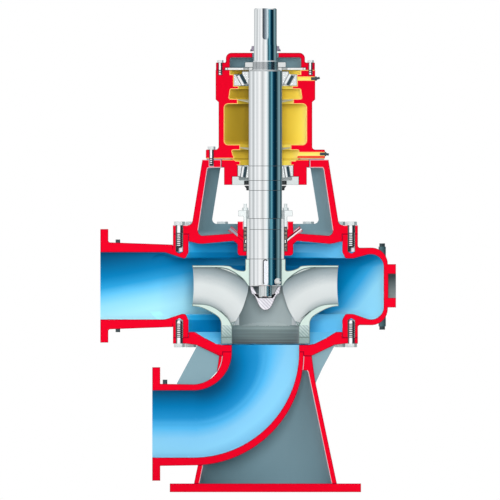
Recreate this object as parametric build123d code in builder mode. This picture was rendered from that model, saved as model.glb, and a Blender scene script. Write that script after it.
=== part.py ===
from build123d import *
import os
from math import cos, radians, sin

os.makedirs("parts", exist_ok=True)

# Pipe flanges, both 8 inch class 125
PIPE_BORE = 203.2
FLANGE_OD = 343.0
FLANGE_THICK = 24.0
FLANGE_CIRCLE = 298.5
FLANGE_HOLE = 22.2
FLANGE_HOLES = 8

# Heights above the floor and reaches from the shaft axis
DISCHARGE_Z = 623.6
DISCHARGE_FACE = 499.0
ELBOW_TOP_Z = 424.0
SUCTION_FACE = 342.0
BOTTOM_JOINT_Z = 467.0
TOP_JOINT_Z = 780.0
BRACKET_TOP_Z = 1005.2
CAP_JOINT_Z = 1276.0
DRIVE_STEP_Z = 1352.0
SHAFT_END_Z = 623.0

# Base plate and pedestal
BASE_HALF = 289.0
BASE_THICK = 26.0
ANCHOR_REACH = 245.0
ANCHOR_HOLE = 28.0
PEDESTAL_TOP_Z = 412.0

# Suction elbow: the outer wall hangs a little below the bore and turns a little tighter
BEND_RADIUS = 218.0
SUCTION_Z = ELBOW_TOP_Z - BEND_RADIUS
ELBOW_OUTER = 122.5
OUTER_DROP = 2.7
OUTER_TIGHTER = 7.1
NOZZLE_OUTER = 124.0

# Casing joints
CASING_BORE = 232.5
CASING_FLANGE = 279.5
SPIGOT_FIT = 0.3
CASING_BOLT_CIRCLE = 260.0
CASING_BOLT = 9.5
CASING_BOLT_COUNT = 12
CASING_BOLT_DEPTH = 53.0
DRILL_TIP = 5.0
DRILL_TAPER = 60.0
HOUSING_BOLT_CIRCLE = 163.0
HOUSING_BOLT = 6.0
HOUSING_BOLT_COUNT = 8
HOUSING_BOLT_END_Z = 986.0
CAP_BOLT_CIRCLE = 136.5
CAP_BOLT = 5.2
CAP_BOLT_COUNT = 8
CAP_BOLT_END_Z = 1261.0
HOLE_FIT = 0.3
COVER_SEAT_Z = 449.0
FOOT_TOP_Z = 1035.5

# Shaft and rotor
SHAFT_RADIUS = 50.0
IMPELLER_SEAT = 48.0
DRIVE_RADIUS = 34.2
DRIVE_LENGTH = 110.5
SHAFT_TOP_Z = DRIVE_STEP_Z + DRIVE_LENGTH
SEAL_JOURNAL = 35.0
THREAD_RADIUS = 37.5
SLEEVE_RADIUS = 56.0
SLEEVE_TOP_Z = 827.0
HUB_TOP_Z = 704.8
IMPELLER_RADIUS = 221.0
EYE_RADIUS = 100.7
NECK_RADIUS = 134.2
NECK_Z = 468.0
RING_Z = 448.5
SEAT_FIT = 0.05
ROLL_FIT = 0.3

# Bearings
UPPER_SEAT = 95.8
LOWER_SEAT = 84.3
UPPER_SEAT_Z = 1228.0
LOWER_SEAT_Z = 988.0
ROLLER_COUNT = 18

# Stuffing box
BOX_BORE = 66.2
PACK_BOTTOM_Z = 728.0
LANTERN_Z = 752.0
LANTERN_HEIGHT = 12.0
PACK_TOP_Z = 801.0

discharge_axis = Axis((0, 0, DISCHARGE_Z), (-1, 0, 0))
bend_axis = Axis((-BEND_RADIUS, 0, ELBOW_TOP_Z), (0, 1, 0))


def outline(*corners, plane=Plane.XZ):
    """Closed face through corners given as (across, up) or (across, up, round)."""
    rounds = [corner[2] if len(corner) > 2 else 0 for corner in corners]
    with BuildSketch(plane) as face:
        with BuildLine():
            FilletPolyline(*[corner[:2] for corner in corners], radius=rounds, close=True)
        make_face()
    return face.sketch


def half_ring(*corners, mode=Mode.ADD):
    """The far half of a ring turned about the shaft axis."""
    revolve(outline(*corners), axis=Axis.Z, revolution_arc=180, mode=mode)


def half_turned(axis, *corners, mode=Mode.ADD):
    """The far half of a shape turned about a pipe axis."""
    revolve(outline(*corners), axis=axis, revolution_arc=180, mode=mode)


def around(circle, count):
    """Places on the far half of a bolt circle, with those in the section plane."""
    step = 360 / count
    turns = [radians(step * i) for i in range(count // 2 + 1)]
    return [(circle * cos(t), circle * sin(t)) for t in turns]


def flange_places(centre_z):
    """Bolt holes of a pipe flange, straddling its centre lines, on the kept half."""
    step = 360 / FLANGE_HOLES
    turns = [90 + step * (i - 1.5) for i in range(FLANGE_HOLES // 2)]
    reach = FLANGE_CIRCLE / 2
    return [(reach * sin(radians(t)), centre_z - reach * cos(radians(t))) for t in turns]


# Base plate, cut through the shaft axis like everything around it
with BuildPart() as base_plate:
    with BuildSketch():
        with Locations((0, BASE_HALF / 2)):
            Rectangle(2 * BASE_HALF, BASE_HALF)
        with Locations((-ANCHOR_REACH, ANCHOR_REACH), (ANCHOR_REACH, ANCHOR_REACH)):
            Circle(ANCHOR_HOLE / 2, mode=Mode.SUBTRACT)
    extrude(amount=BASE_THICK)

# Outer body of the elbow, a bend, a slightly tapered nozzle and the pipe flange
outer_z = SUCTION_Z - OUTER_DROP
turn_z = outer_z + BEND_RADIUS - OUTER_TIGHTER
turn_axis = Axis((-BEND_RADIUS, 0, turn_z), (0, 1, 0))
nozzle_back = -SUCTION_FACE + FLANGE_THICK
with BuildPart() as elbow_body:
    with BuildSketch(Plane.XY.offset(turn_z)) as elbow_round:
        with Locations((-OUTER_TIGHTER, 0)):
            Circle(ELBOW_OUTER)
    revolve(axis=turn_axis, revolution_arc=90)
    extrude(elbow_round.sketch, amount=ELBOW_TOP_Z - turn_z)
    with BuildSketch(Plane(origin=(-BEND_RADIUS, 0, outer_z), z_dir=(-1, 0, 0))):
        Circle(ELBOW_OUTER)
    with BuildSketch(Plane(origin=(nozzle_back, 0, outer_z), z_dir=(-1, 0, 0))):
        Circle(NOZZLE_OUTER)
    loft()
    with BuildSketch(Plane(origin=(nozzle_back, 0, SUCTION_Z), z_dir=(-1, 0, 0))):
        Circle(FLANGE_OD / 2)
    extrude(amount=FLANGE_THICK)

# The same elbow with its bore and flange holes, and only the far half kept
with BuildPart() as suction_elbow:
    add(elbow_body.part)
    with BuildSketch(Plane.XY.offset(ELBOW_TOP_Z)):
        Circle(PIPE_BORE / 2)
    revolve(axis=bend_axis, revolution_arc=90, mode=Mode.SUBTRACT)
    with BuildSketch(Plane.YZ.offset(-BEND_RADIUS)):
        with Locations((0, SUCTION_Z)):
            Circle(PIPE_BORE / 2)
    extrude(amount=-SUCTION_FACE, mode=Mode.SUBTRACT)
    with BuildSketch(Plane.YZ.offset(-SUCTION_FACE)):
        with Locations(*flange_places(SUCTION_Z)):
            Circle(FLANGE_HOLE / 2)
    extrude(amount=FLANGE_THICK, mode=Mode.SUBTRACT)
    split(bisect_by=Plane.XZ, keep=Keep.BOTTOM)

# Suction cover: the dished plate that closes the casing from below
with BuildPart() as suction_cover:
    half_ring(
        (PIPE_BORE / 2, PEDESTAL_TOP_Z),
        (140, PEDESTAL_TOP_Z),
        (209, 445, 10),
        (242, COVER_SEAT_Z),
        (CASING_FLANGE, COVER_SEAT_Z),
        (CASING_FLANGE, BOTTOM_JOINT_Z),
        (CASING_BORE - SPIGOT_FIT, BOTTOM_JOINT_Z),
        (CASING_BORE - SPIGOT_FIT, 484),
        (213, 484, 8),
        (184, 466, 40),
        (148, 448, 20),
        (130, 445),
        (PIPE_BORE / 2, 445),
    )
    add(elbow_body.part, mode=Mode.SUBTRACT)
    with BuildSketch(Plane.XY.offset(BOTTOM_JOINT_Z)):
        with Locations(*around(CASING_BOLT_CIRCLE, CASING_BOLT_COUNT)):
            Circle(CASING_BOLT + HOLE_FIT)
    extrude(amount=BOTTOM_JOINT_Z, both=True, mode=Mode.SUBTRACT)

# Pedestal: a hollow cone that carries the cover, open where the elbow leaves
with BuildPart() as pedestal:
    half_ring(
        (200, BASE_THICK),
        (216, BASE_THICK),
        (150, 339, 60),
        (140, PEDESTAL_TOP_Z),
        (60, PEDESTAL_TOP_Z),
        (60, 368),
        (128, 368, 8),
    )
    add(elbow_body.part, mode=Mode.SUBTRACT)

# Ribs under the cover, one down to the suction nozzle and one to the pedestal
RIB_NEAR = 12.0
RIB_THICK = 16.0
rib_plane = Plane.XZ.offset(-RIB_NEAR)
with BuildPart() as nozzle_rib:
    extrude(
        outline((-204, 447), (-268, 328), (-215, 290), (-110, 405), (-125, 430), plane=rib_plane),
        amount=-RIB_THICK,
    )
    add(elbow_body.part, mode=Mode.SUBTRACT)
    add(suction_cover.part, mode=Mode.SUBTRACT)
    add(pedestal.part, mode=Mode.SUBTRACT)
with BuildPart() as pedestal_rib:
    extrude(
        outline((212, 448), (172, 374, 60), (152, 330), (136, 360), (130, 425), plane=rib_plane),
        amount=-RIB_THICK,
    )
    add(suction_cover.part, mode=Mode.SUBTRACT)
    add(pedestal.part, mode=Mode.SUBTRACT)

# Volute casing: a scroll round the impeller with a centre-line discharge nozzle
SCROLL_INNER = 357.6
SCROLL_OUTER = 370.0
SCROLL_ROOF_Z = 719.2
SCROLL_FLOOR_Z = 521.8
LIP_TOP_Z = 706.8
LIP_BOTTOM_Z = 538.7
NOZZLE_START = 280.0
NOZZLE_NECK = 303.0
LIP_REACH = 250.0
LIP_RISE = 84.0
THROAT_START = 352.0
THROAT_INSIDE = 13.6
THROAT_END = 190.0
THROAT_RADIUS = 330.0
BOSS_RADIUS = 65.5
BOSS_FACE = 394.5
BOSS_FLOOR = 371.5
BOSS_RECESS = 36.3
VENT_REACH = 353.0
VENT_BACK = 24.0
VENT_RADIUS = 11.0
VENT_TOP_Z = 742.0
VENT_BOTTOM_Z = 501.0
VENT_DEPTH = 30.0
with BuildPart() as throat_wall:
    with Locations((-THROAT_START, BOSS_RADIUS, BOTTOM_JOINT_Z)):
        Box(THROAT_START - THROAT_END, SCROLL_INNER, TOP_JOINT_Z - BOTTOM_JOINT_Z, align=Align.MIN)
    with BuildSketch(Plane.XZ):
        with BuildLine():
            flare = Spline(
                (-THROAT_START, DISCHARGE_Z + PIPE_BORE / 2 - THROAT_INSIDE),
                (-THROAT_END, DISCHARGE_Z + THROAT_RADIUS),
                tangents=((1, 0.3), (0.35, 1)),
            )
            Polyline(flare @ 1, (-THROAT_END, DISCHARGE_Z), (-THROAT_START, DISCHARGE_Z), flare @ 0)
        make_face()
    revolve(axis=discharge_axis, mode=Mode.SUBTRACT)
with BuildPart() as scroll_space:
    half_ring(
        (0, BOTTOM_JOINT_Z - 5),
        (CASING_BORE, BOTTOM_JOINT_Z - 5),
        (CASING_BORE, LIP_BOTTOM_Z - 18, 8),
        (CASING_BORE + 9, LIP_BOTTOM_Z, 9),
        (266, LIP_BOTTOM_Z, 16),
        (312, SCROLL_FLOOR_Z, 40),
        (SCROLL_INNER, SCROLL_FLOOR_Z, 38),
        (SCROLL_INNER, SCROLL_ROOF_Z, 38),
        (312, SCROLL_ROOF_Z, 40),
        (266, LIP_TOP_Z, 16),
        (CASING_BORE + 9, LIP_TOP_Z, 9),
        (CASING_BORE, LIP_TOP_Z + 18, 8),
        (CASING_BORE, TOP_JOINT_Z + 5),
        (0, TOP_JOINT_Z + 5),
    )
    add(throat_wall.part, mode=Mode.SUBTRACT)
with BuildPart() as volute_casing:
    half_ring(
        (0, BOTTOM_JOINT_Z),
        (CASING_FLANGE, BOTTOM_JOINT_Z),
        (CASING_FLANGE, 506, 8),
        (SCROLL_OUTER, 503, 50),
        (SCROLL_OUTER, 740.5, 50),
        (CASING_FLANGE, 738, 8),
        (CASING_FLANGE, TOP_JOINT_Z),
        (0, TOP_JOINT_Z),
    )
    half_turned(
        discharge_axis,
        (-DISCHARGE_FACE, DISCHARGE_Z),
        (-DISCHARGE_FACE, DISCHARGE_Z + FLANGE_OD / 2),
        (-DISCHARGE_FACE + FLANGE_THICK, DISCHARGE_Z + FLANGE_OD / 2),
        (-DISCHARGE_FACE + FLANGE_THICK, DISCHARGE_Z + 131.5, 6),
        (-NOZZLE_START, DISCHARGE_Z + 124.5),
        (-NOZZLE_START, DISCHARGE_Z),
    )
    add(scroll_space.part, mode=Mode.SUBTRACT)
    half_turned(
        discharge_axis,
        (-DISCHARGE_FACE, DISCHARGE_Z),
        (-DISCHARGE_FACE, DISCHARGE_Z + PIPE_BORE / 2),
        (-NOZZLE_NECK, DISCHARGE_Z + PIPE_BORE / 2, 40),
        (-LIP_REACH, DISCHARGE_Z + LIP_RISE),
        (-LIP_REACH, DISCHARGE_Z),
        mode=Mode.SUBTRACT,
    )
    half_turned(
        discharge_axis,
        (SCROLL_INNER + 2, DISCHARGE_Z),
        (SCROLL_INNER + 2, DISCHARGE_Z + BOSS_RADIUS),
        (BOSS_FACE, DISCHARGE_Z + BOSS_RADIUS),
        (BOSS_FACE, DISCHARGE_Z),
    )
    for z, up in ((VENT_TOP_Z, -1), (VENT_BOTTOM_Z, 1)):
        with BuildSketch(Plane.XY.offset(z)):
            with Locations((VENT_REACH, VENT_BACK)):
                Circle(VENT_RADIUS)
        extrude(amount=up * VENT_DEPTH)
    half_turned(
        discharge_axis,
        (BOSS_FLOOR, DISCHARGE_Z),
        (BOSS_FLOOR, DISCHARGE_Z + BOSS_RECESS),
        (BOSS_FACE, DISCHARGE_Z + BOSS_RECESS),
        (BOSS_FACE, DISCHARGE_Z),
        mode=Mode.SUBTRACT,
    )
    with BuildSketch(Plane.YZ.offset(-DISCHARGE_FACE)):
        with Locations(*flange_places(DISCHARGE_Z)):
            Circle(FLANGE_HOLE / 2)
    extrude(amount=FLANGE_THICK, mode=Mode.SUBTRACT)
    with BuildSketch(Plane.XY.offset(BOTTOM_JOINT_Z)):
        with Locations(*around(CASING_BOLT_CIRCLE, CASING_BOLT_COUNT)):
            Circle(CASING_BOLT + HOLE_FIT)
    extrude(amount=CASING_BOLT_DEPTH, mode=Mode.SUBTRACT)
    with BuildSketch(Plane.XY.offset(BOTTOM_JOINT_Z + CASING_BOLT_DEPTH)):
        with Locations(*around(CASING_BOLT_CIRCLE, CASING_BOLT_COUNT)):
            Circle(CASING_BOLT + HOLE_FIT)
    extrude(amount=DRILL_TIP, taper=DRILL_TAPER, mode=Mode.SUBTRACT)
    with BuildSketch(Plane.XY.offset(TOP_JOINT_Z)):
        with Locations(*around(CASING_BOLT_CIRCLE, CASING_BOLT_COUNT)):
            Circle(CASING_BOLT + HOLE_FIT)
    extrude(amount=-CASING_BOLT_DEPTH, mode=Mode.SUBTRACT)
    with BuildSketch(Plane.XY.offset(TOP_JOINT_Z - CASING_BOLT_DEPTH)):
        with Locations(*around(CASING_BOLT_CIRCLE, CASING_BOLT_COUNT)):
            Circle(CASING_BOLT + HOLE_FIT)
    extrude(amount=-DRILL_TIP, taper=DRILL_TAPER, mode=Mode.SUBTRACT)

# Bolts of the bearing housing leave out the place that the lower grease port takes
housing_places = around(HOUSING_BOLT_CIRCLE, HOUSING_BOLT_COUNT)[1:]

# Bracket: casing cover, stuffing box and lantern cast in one
COVER_TOP_Z = 807.0
PLATE_UNDER_Z = 757.0
BOX_OUTER = 84.0
WINDOW_FLOOR_Z = 811.0
WINDOW_ROOF_Z = 981.0
WINDOW_NEAR = 100.0
FLUSH_RADIUS = 3.75
STUD_CIRCLE = 74.5
STUD_RADIUS = 4.8
STUD_BOTTOM_Z = 801.0
GLAND_FLANGE_Z = 834.0
stud_places = [(STUD_CIRCLE * cos(radians(t)), STUD_CIRCLE * sin(radians(t))) for t in (35, 145)]
with BuildPart() as bracket:
    half_ring(
        (57, 715),
        (BOX_OUTER, 715, 10),
        (BOX_OUTER, 750, 8),
        (96, 759.5, 8),
        (197, 750, 60),
        (226, PLATE_UNDER_Z),
        (CASING_BORE - SPIGOT_FIT, PLATE_UNDER_Z),
        (CASING_BORE - SPIGOT_FIT, TOP_JOINT_Z),
        (CASING_FLANGE, TOP_JOINT_Z),
        (CASING_FLANGE, COVER_TOP_Z),
        (222.5, COVER_TOP_Z, 14),
        (190.5, BRACKET_TOP_Z),
        (134, BRACKET_TOP_Z),
        (134, WINDOW_ROOF_Z),
        (175, WINDOW_ROOF_Z, 6),
        (206, 774, 14),
        (BOX_OUTER, 783, 6),
        (BOX_OUTER, 819),
        (BOX_BORE, 819),
        (BOX_BORE, PACK_BOTTOM_Z),
        (57, PACK_BOTTOM_Z),
    )
    window = outline(
        (-163, WINDOW_FLOOR_Z, 14),
        (163, WINDOW_FLOOR_Z, 14),
        (136, WINDOW_ROOF_Z, 4),
        (-136, WINDOW_ROOF_Z, 4),
        plane=Plane.XZ.offset(-WINDOW_NEAR),
    )
    extrude(window, amount=-CASING_BORE, mode=Mode.SUBTRACT)
    for side in (-1, 1):
        with Locations(Plane(origin=(side * 97, 0, 788), z_dir=(side * 39, 0, 31))):
            Cylinder(9, 28)
        with Locations(Plane(origin=(side * 70, 0, 766), z_dir=(side * 39, 0, 31))):
            Cylinder(FLUSH_RADIUS, 110, mode=Mode.SUBTRACT)
    split(bisect_by=Plane.XZ, keep=Keep.BOTTOM)
    with BuildSketch(Plane.XY.offset(TOP_JOINT_Z)):
        with Locations(*around(CASING_BOLT_CIRCLE, CASING_BOLT_COUNT)):
            Circle(CASING_BOLT + HOLE_FIT)
    extrude(amount=COVER_TOP_Z - TOP_JOINT_Z, mode=Mode.SUBTRACT)
    with BuildSketch(Plane.XY.offset(HOUSING_BOLT_END_Z)):
        with Locations(*housing_places):
            Circle(HOUSING_BOLT + HOLE_FIT)
    extrude(amount=BRACKET_TOP_Z - HOUSING_BOLT_END_Z, mode=Mode.SUBTRACT)
    with BuildSketch(Plane.XY.offset(STUD_BOTTOM_Z)):
        with Locations(*stud_places):
            Circle(STUD_RADIUS + HOLE_FIT)
    extrude(amount=GLAND_FLANGE_Z - STUD_BOTTOM_Z, mode=Mode.SUBTRACT)

# Packing rings with the lantern ring between them, one piece each
PACK_FIT = 0.1
with BuildPart() as packing_rings:
    below = [PACK_BOTTOM_Z + 12 * i for i in range(2)]
    above = [LANTERN_Z + LANTERN_HEIGHT + 12.3 * i for i in range(3)]
    for z in below + above:
        half_ring(
            (SLEEVE_RADIUS + PACK_FIT, z + 0.2),
            (BOX_BORE - PACK_FIT, z + 0.2),
            (BOX_BORE - PACK_FIT, z + 11.8),
            (SLEEVE_RADIUS + PACK_FIT, z + 11.8),
        )
with BuildPart() as lantern_ring:
    half_ring(
        (SLEEVE_RADIUS + 1, LANTERN_Z),
        (BOX_BORE - PACK_FIT, LANTERN_Z),
        (BOX_BORE - PACK_FIT, LANTERN_Z + 3),
        (BOX_BORE - 3, LANTERN_Z + 4),
        (BOX_BORE - 3, LANTERN_Z + LANTERN_HEIGHT - 4),
        (BOX_BORE - PACK_FIT, LANTERN_Z + LANTERN_HEIGHT - 3),
        (BOX_BORE - PACK_FIT, LANTERN_Z + LANTERN_HEIGHT),
        (SLEEVE_RADIUS + 1, LANTERN_Z + LANTERN_HEIGHT),
    )

# Packing gland with its two studs and nuts
GLAND_TOP_Z = 852.0
STUD_TOP_Z = 872.0
NUT_HEIGHT = 8.0
with BuildPart() as packing_gland:
    half_ring(
        (SLEEVE_RADIUS + 1, PACK_TOP_Z + 0.5),
        (BOX_BORE - 0.6, PACK_TOP_Z + 0.5),
        (BOX_BORE - 0.6, GLAND_FLANGE_Z, 3),
        (82, GLAND_FLANGE_Z),
        (82, GLAND_TOP_Z, 3),
        (SLEEVE_RADIUS + 1, GLAND_TOP_Z),
    )
    with BuildSketch(Plane.XY.offset(GLAND_FLANGE_Z)):
        with Locations(*stud_places):
            Circle(STUD_RADIUS + HOLE_FIT)
    extrude(amount=GLAND_TOP_Z - GLAND_FLANGE_Z, mode=Mode.SUBTRACT)
with BuildPart() as gland_studs:
    with BuildSketch(Plane.XY.offset(STUD_BOTTOM_Z)):
        with Locations(*stud_places):
            Circle(STUD_RADIUS)
    extrude(amount=STUD_TOP_Z - STUD_BOTTOM_Z)
    with BuildSketch(Plane.XY.offset(GLAND_TOP_Z)):
        with Locations(*stud_places):
            RegularPolygon(8, 6, major_radius=False)
    extrude(amount=NUT_HEIGHT)


# Bearing housing with its grease and oil chambers
HOUSING_OUTER = 150.5
HOUSING_LOWER = 141.5
HOUSING_FOOT = 180.0
HOUSING_SEAT_Z = 1008.5
UPPER_PORT_Z = 1250.0
LOWER_PORT_Z = 1022.0
PORT_RADIUS = 4.5
with BuildPart() as bearing_housing:
    half_ring(
        (106.4, CAP_JOINT_Z),
        (HOUSING_OUTER, CAP_JOINT_Z),
        (HOUSING_OUTER, 1187, 2),
        (HOUSING_LOWER, 1179, 3),
        (HOUSING_LOWER, FOOT_TOP_Z, 9),
        (HOUSING_FOOT, FOOT_TOP_Z, 3),
        (HOUSING_FOOT, HOUSING_SEAT_Z),
        (93.5, HOUSING_SEAT_Z),
        (102.5, 1034, 4),
        (76.5, 1034),
        (76.5, 1050.5),
        (124, 1050.5, 12),
        (124, 1173.5, 12),
        (84, 1173.5),
        (84, 1188.6),
        (110, 1188.6, 4),
        (106, 1218.5, 4),
        (81.3, 1218.5),
        (81.3, UPPER_SEAT_Z),
        (UPPER_SEAT, UPPER_SEAT_Z),
        (UPPER_SEAT, 1263),
        (106.4, 1263),
    )
    with BuildSketch(Plane.XY.offset(HOUSING_SEAT_Z)):
        with Locations(*housing_places):
            Circle(HOUSING_BOLT + HOLE_FIT)
    extrude(amount=40, mode=Mode.SUBTRACT)
    with BuildSketch(Plane.XY.offset(CAP_BOLT_END_Z)):
        with Locations(*around(CAP_BOLT_CIRCLE, CAP_BOLT_COUNT)):
            Circle(CAP_BOLT + HOLE_FIT)
    extrude(amount=CAP_JOINT_Z - CAP_BOLT_END_Z, mode=Mode.SUBTRACT)
    with BuildSketch(Plane.YZ.offset(UPPER_SEAT - 1)):
        with Locations((0, UPPER_PORT_Z)):
            Circle(PORT_RADIUS)
    extrude(amount=HOUSING_OUTER - UPPER_SEAT + 2, mode=Mode.SUBTRACT)
    with BuildSketch(Plane.YZ.offset(90)):
        with Locations((0, LOWER_PORT_Z)):
            Circle(PORT_RADIUS)
    extrude(amount=100, mode=Mode.SUBTRACT)

# Bearing cap, its seal ring and the plate that keeps the grease by the bearing
CAP_OUTER = 119.4
CAP_TOP_Z = 1328.0
CAP_FLANGE_Z = 1298.5
SHIELD_RADIUS = 113.8
SHIELD_THICK = 7.0
SHIELD_EYE = 66.0
CAP_RECESS = 122.0
with BuildPart() as bearing_cap:
    half_ring(
        (THREAD_RADIUS + 2, CAP_TOP_Z - 14),
        (THREAD_RADIUS + 2, CAP_TOP_Z),
        (CAP_OUTER, CAP_TOP_Z, 17),
        (CAP_OUTER, CAP_FLANGE_Z, 4),
        (HOUSING_OUTER - 1, CAP_FLANGE_Z, 2),
        (HOUSING_OUTER - 1, CAP_JOINT_Z),
        (CAP_RECESS, CAP_JOINT_Z),
        (CAP_RECESS, CAP_JOINT_Z + SHIELD_THICK + 0.1),
        (107.8, CAP_JOINT_Z + SHIELD_THICK + 0.1),
        (107.8, CAP_TOP_Z - 14, 6),
    )
    with BuildSketch(Plane.XY.offset(CAP_JOINT_Z)):
        with Locations(*around(CAP_BOLT_CIRCLE, CAP_BOLT_COUNT)):
            Circle(CAP_BOLT + HOLE_FIT)
    extrude(amount=CAP_FLANGE_Z - CAP_JOINT_Z, mode=Mode.SUBTRACT)
with BuildPart() as cap_seal_ring:
    half_ring(
        (SHIELD_RADIUS + 0.3, CAP_JOINT_Z, 3),
        (CAP_RECESS - 0.2, CAP_JOINT_Z, 3),
        (CAP_RECESS - 0.2, CAP_JOINT_Z + SHIELD_THICK, 3),
        (SHIELD_RADIUS + 0.3, CAP_JOINT_Z + SHIELD_THICK, 3),
    )
with BuildPart() as bearing_shield:
    half_ring(
        (SHIELD_EYE, CAP_JOINT_Z),
        (SHIELD_RADIUS, CAP_JOINT_Z),
        (SHIELD_RADIUS, CAP_JOINT_Z + SHIELD_THICK),
        (SHIELD_EYE, CAP_JOINT_Z + SHIELD_THICK),
    )

# Lower bearing cartridge, the shim above it and the seal plate below the bearing
CARTRIDGE_OUTER = 125.0
CARTRIDGE_FLOOR_Z = 928.7
SEAL_PLATE_RADIUS = 100.5
LIP_SEAL_RADIUS = 64.0
with BuildPart() as bearing_cartridge:
    half_ring(
        (SEAL_PLATE_RADIUS + 0.2, CARTRIDGE_FLOOR_Z),
        (CARTRIDGE_OUTER, CARTRIDGE_FLOOR_Z, 2),
        (CARTRIDGE_OUTER, 982),
        (132.5, 982),
        (132.5, BRACKET_TOP_Z),
        (93.5, BRACKET_TOP_Z),
        (90, 1001.5),
        (76.2, 1001.5),
        (76.2, LOWER_SEAT_Z),
        (LOWER_SEAT, LOWER_SEAT_Z),
        (LOWER_SEAT, 954),
        (SEAL_PLATE_RADIUS + 0.2, 954),
    )
with BuildPart() as housing_shim:
    half_ring((106, BRACKET_TOP_Z), (178, BRACKET_TOP_Z), (178, HOUSING_SEAT_Z), (106, HOUSING_SEAT_Z))
    with BuildSketch(Plane.XY.offset(BRACKET_TOP_Z)):
        with Locations(*housing_places):
            Circle(HOUSING_BOLT + HOLE_FIT)
    extrude(amount=HOUSING_SEAT_Z - BRACKET_TOP_Z, mode=Mode.SUBTRACT)
with BuildPart() as housing_o_ring:
    half_ring((99, BRACKET_TOP_Z), (105.5, BRACKET_TOP_Z), (105.5, HOUSING_SEAT_Z), (99, HOUSING_SEAT_Z))
with BuildPart() as seal_plate:
    half_ring(
        (LIP_SEAL_RADIUS, CARTRIDGE_FLOOR_Z),
        (SEAL_PLATE_RADIUS, CARTRIDGE_FLOOR_Z),
        (SEAL_PLATE_RADIUS, 954),
        (80, 954),
        (80, 943, 3),
        (57, 943),
        (57, 941),
        (LIP_SEAL_RADIUS, 941),
    )
with BuildPart() as lip_seal:
    half_ring(
        (SHAFT_RADIUS + 4, CARTRIDGE_FLOOR_Z),
        (LIP_SEAL_RADIUS - 0.1, CARTRIDGE_FLOOR_Z),
        (LIP_SEAL_RADIUS - 0.1, 940.8),
        (57, 940.8),
        (57, 933),
        (SHAFT_RADIUS + 0.3, 937),
        (SHAFT_RADIUS + 0.3, 935),
    )

# Taper roller bearings: an outer ring, an inner ring and a set of rollers each
UPPER_ROLL_TOP = (79.0, 1261.0)
UPPER_ROLL_END = (63.5, 1232.5)
UPPER_ROLL_RADIUS = 8.5
UPPER_RING_TOP_Z = 1263.0
LOWER_ROLL_TOP = (63.0, 984.0)
LOWER_ROLL_END = (68.0, 952.0)
LOWER_ROLL_RADIUS = 7.5
LOWER_RING_END_Z = 954.0


def race(top, end, offset, z):
    """Radius at a height of the line that runs beside a roller's axis at an offset."""
    slope = (top[0] - end[0]) / (top[1] - end[1])
    return end[0] + (z - end[1]) * slope + offset * (1 + slope**2) ** 0.5


def upper_race(side, z):
    """Raceway radius of the upper bearing, outer ring side 1 and inner ring side -1."""
    return race(UPPER_ROLL_TOP, UPPER_ROLL_END, side * (UPPER_ROLL_RADIUS + ROLL_FIT), z)


def lower_race(side, z):
    """Raceway radius of the lower bearing, outer ring side 1 and inner ring side -1."""
    return race(LOWER_ROLL_TOP, LOWER_ROLL_END, side * (LOWER_ROLL_RADIUS + ROLL_FIT), z)


def roller_planes(top, end):
    """Planes at the middle of the rollers of the far half, each facing along its roller."""
    planes = []
    for i in range(ROLLER_COUNT // 2 + 1):
        turn = radians(360 / ROLLER_COUNT * i)
        reach = (top[0] + end[0]) / 2
        lean = top[0] - end[0]
        middle = (reach * cos(turn), reach * sin(turn), (top[1] + end[1]) / 2)
        planes.append(Plane(origin=middle, z_dir=(lean * cos(turn), lean * sin(turn), top[1] - end[1])))
    return planes


with BuildPart() as upper_outer_ring:
    half_ring(
        (upper_race(1, UPPER_SEAT_Z), UPPER_SEAT_Z),
        (UPPER_SEAT - SEAT_FIT, UPPER_SEAT_Z),
        (UPPER_SEAT - SEAT_FIT, UPPER_RING_TOP_Z),
        (upper_race(1, UPPER_RING_TOP_Z), UPPER_RING_TOP_Z),
    )
with BuildPart() as upper_inner_ring:
    half_ring(
        (SHAFT_RADIUS + SEAT_FIT, UPPER_SEAT_Z + 1),
        (upper_race(-1, UPPER_SEAT_Z + 1), UPPER_SEAT_Z + 1),
        (upper_race(-1, 1264), 1264),
        (upper_race(-1, 1264), 1271.8),
        (SHAFT_RADIUS + SEAT_FIT, 1271.8),
    )
with BuildPart() as upper_rollers:
    with Locations(*roller_planes(UPPER_ROLL_TOP, UPPER_ROLL_END)):
        Cylinder(UPPER_ROLL_RADIUS, 32)
with BuildPart() as lower_outer_ring:
    half_ring(
        (lower_race(1, LOWER_RING_END_Z), LOWER_RING_END_Z),
        (LOWER_SEAT - SEAT_FIT, LOWER_RING_END_Z),
        (LOWER_SEAT - SEAT_FIT, LOWER_SEAT_Z),
        (lower_race(1, LOWER_SEAT_Z), LOWER_SEAT_Z),
    )
with BuildPart() as lower_inner_ring:
    half_ring(
        (SHAFT_RADIUS + SEAT_FIT, 949.5),
        (lower_race(-1, 949.5), 949.5),
        (lower_race(-1, LOWER_SEAT_Z), LOWER_SEAT_Z),
        (SHAFT_RADIUS + SEAT_FIT, LOWER_SEAT_Z),
    )
with BuildPart() as lower_rollers:
    with Locations(*roller_planes(LOWER_ROLL_TOP, LOWER_ROLL_END)):
        Cylinder(LOWER_ROLL_RADIUS, 32)

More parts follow.
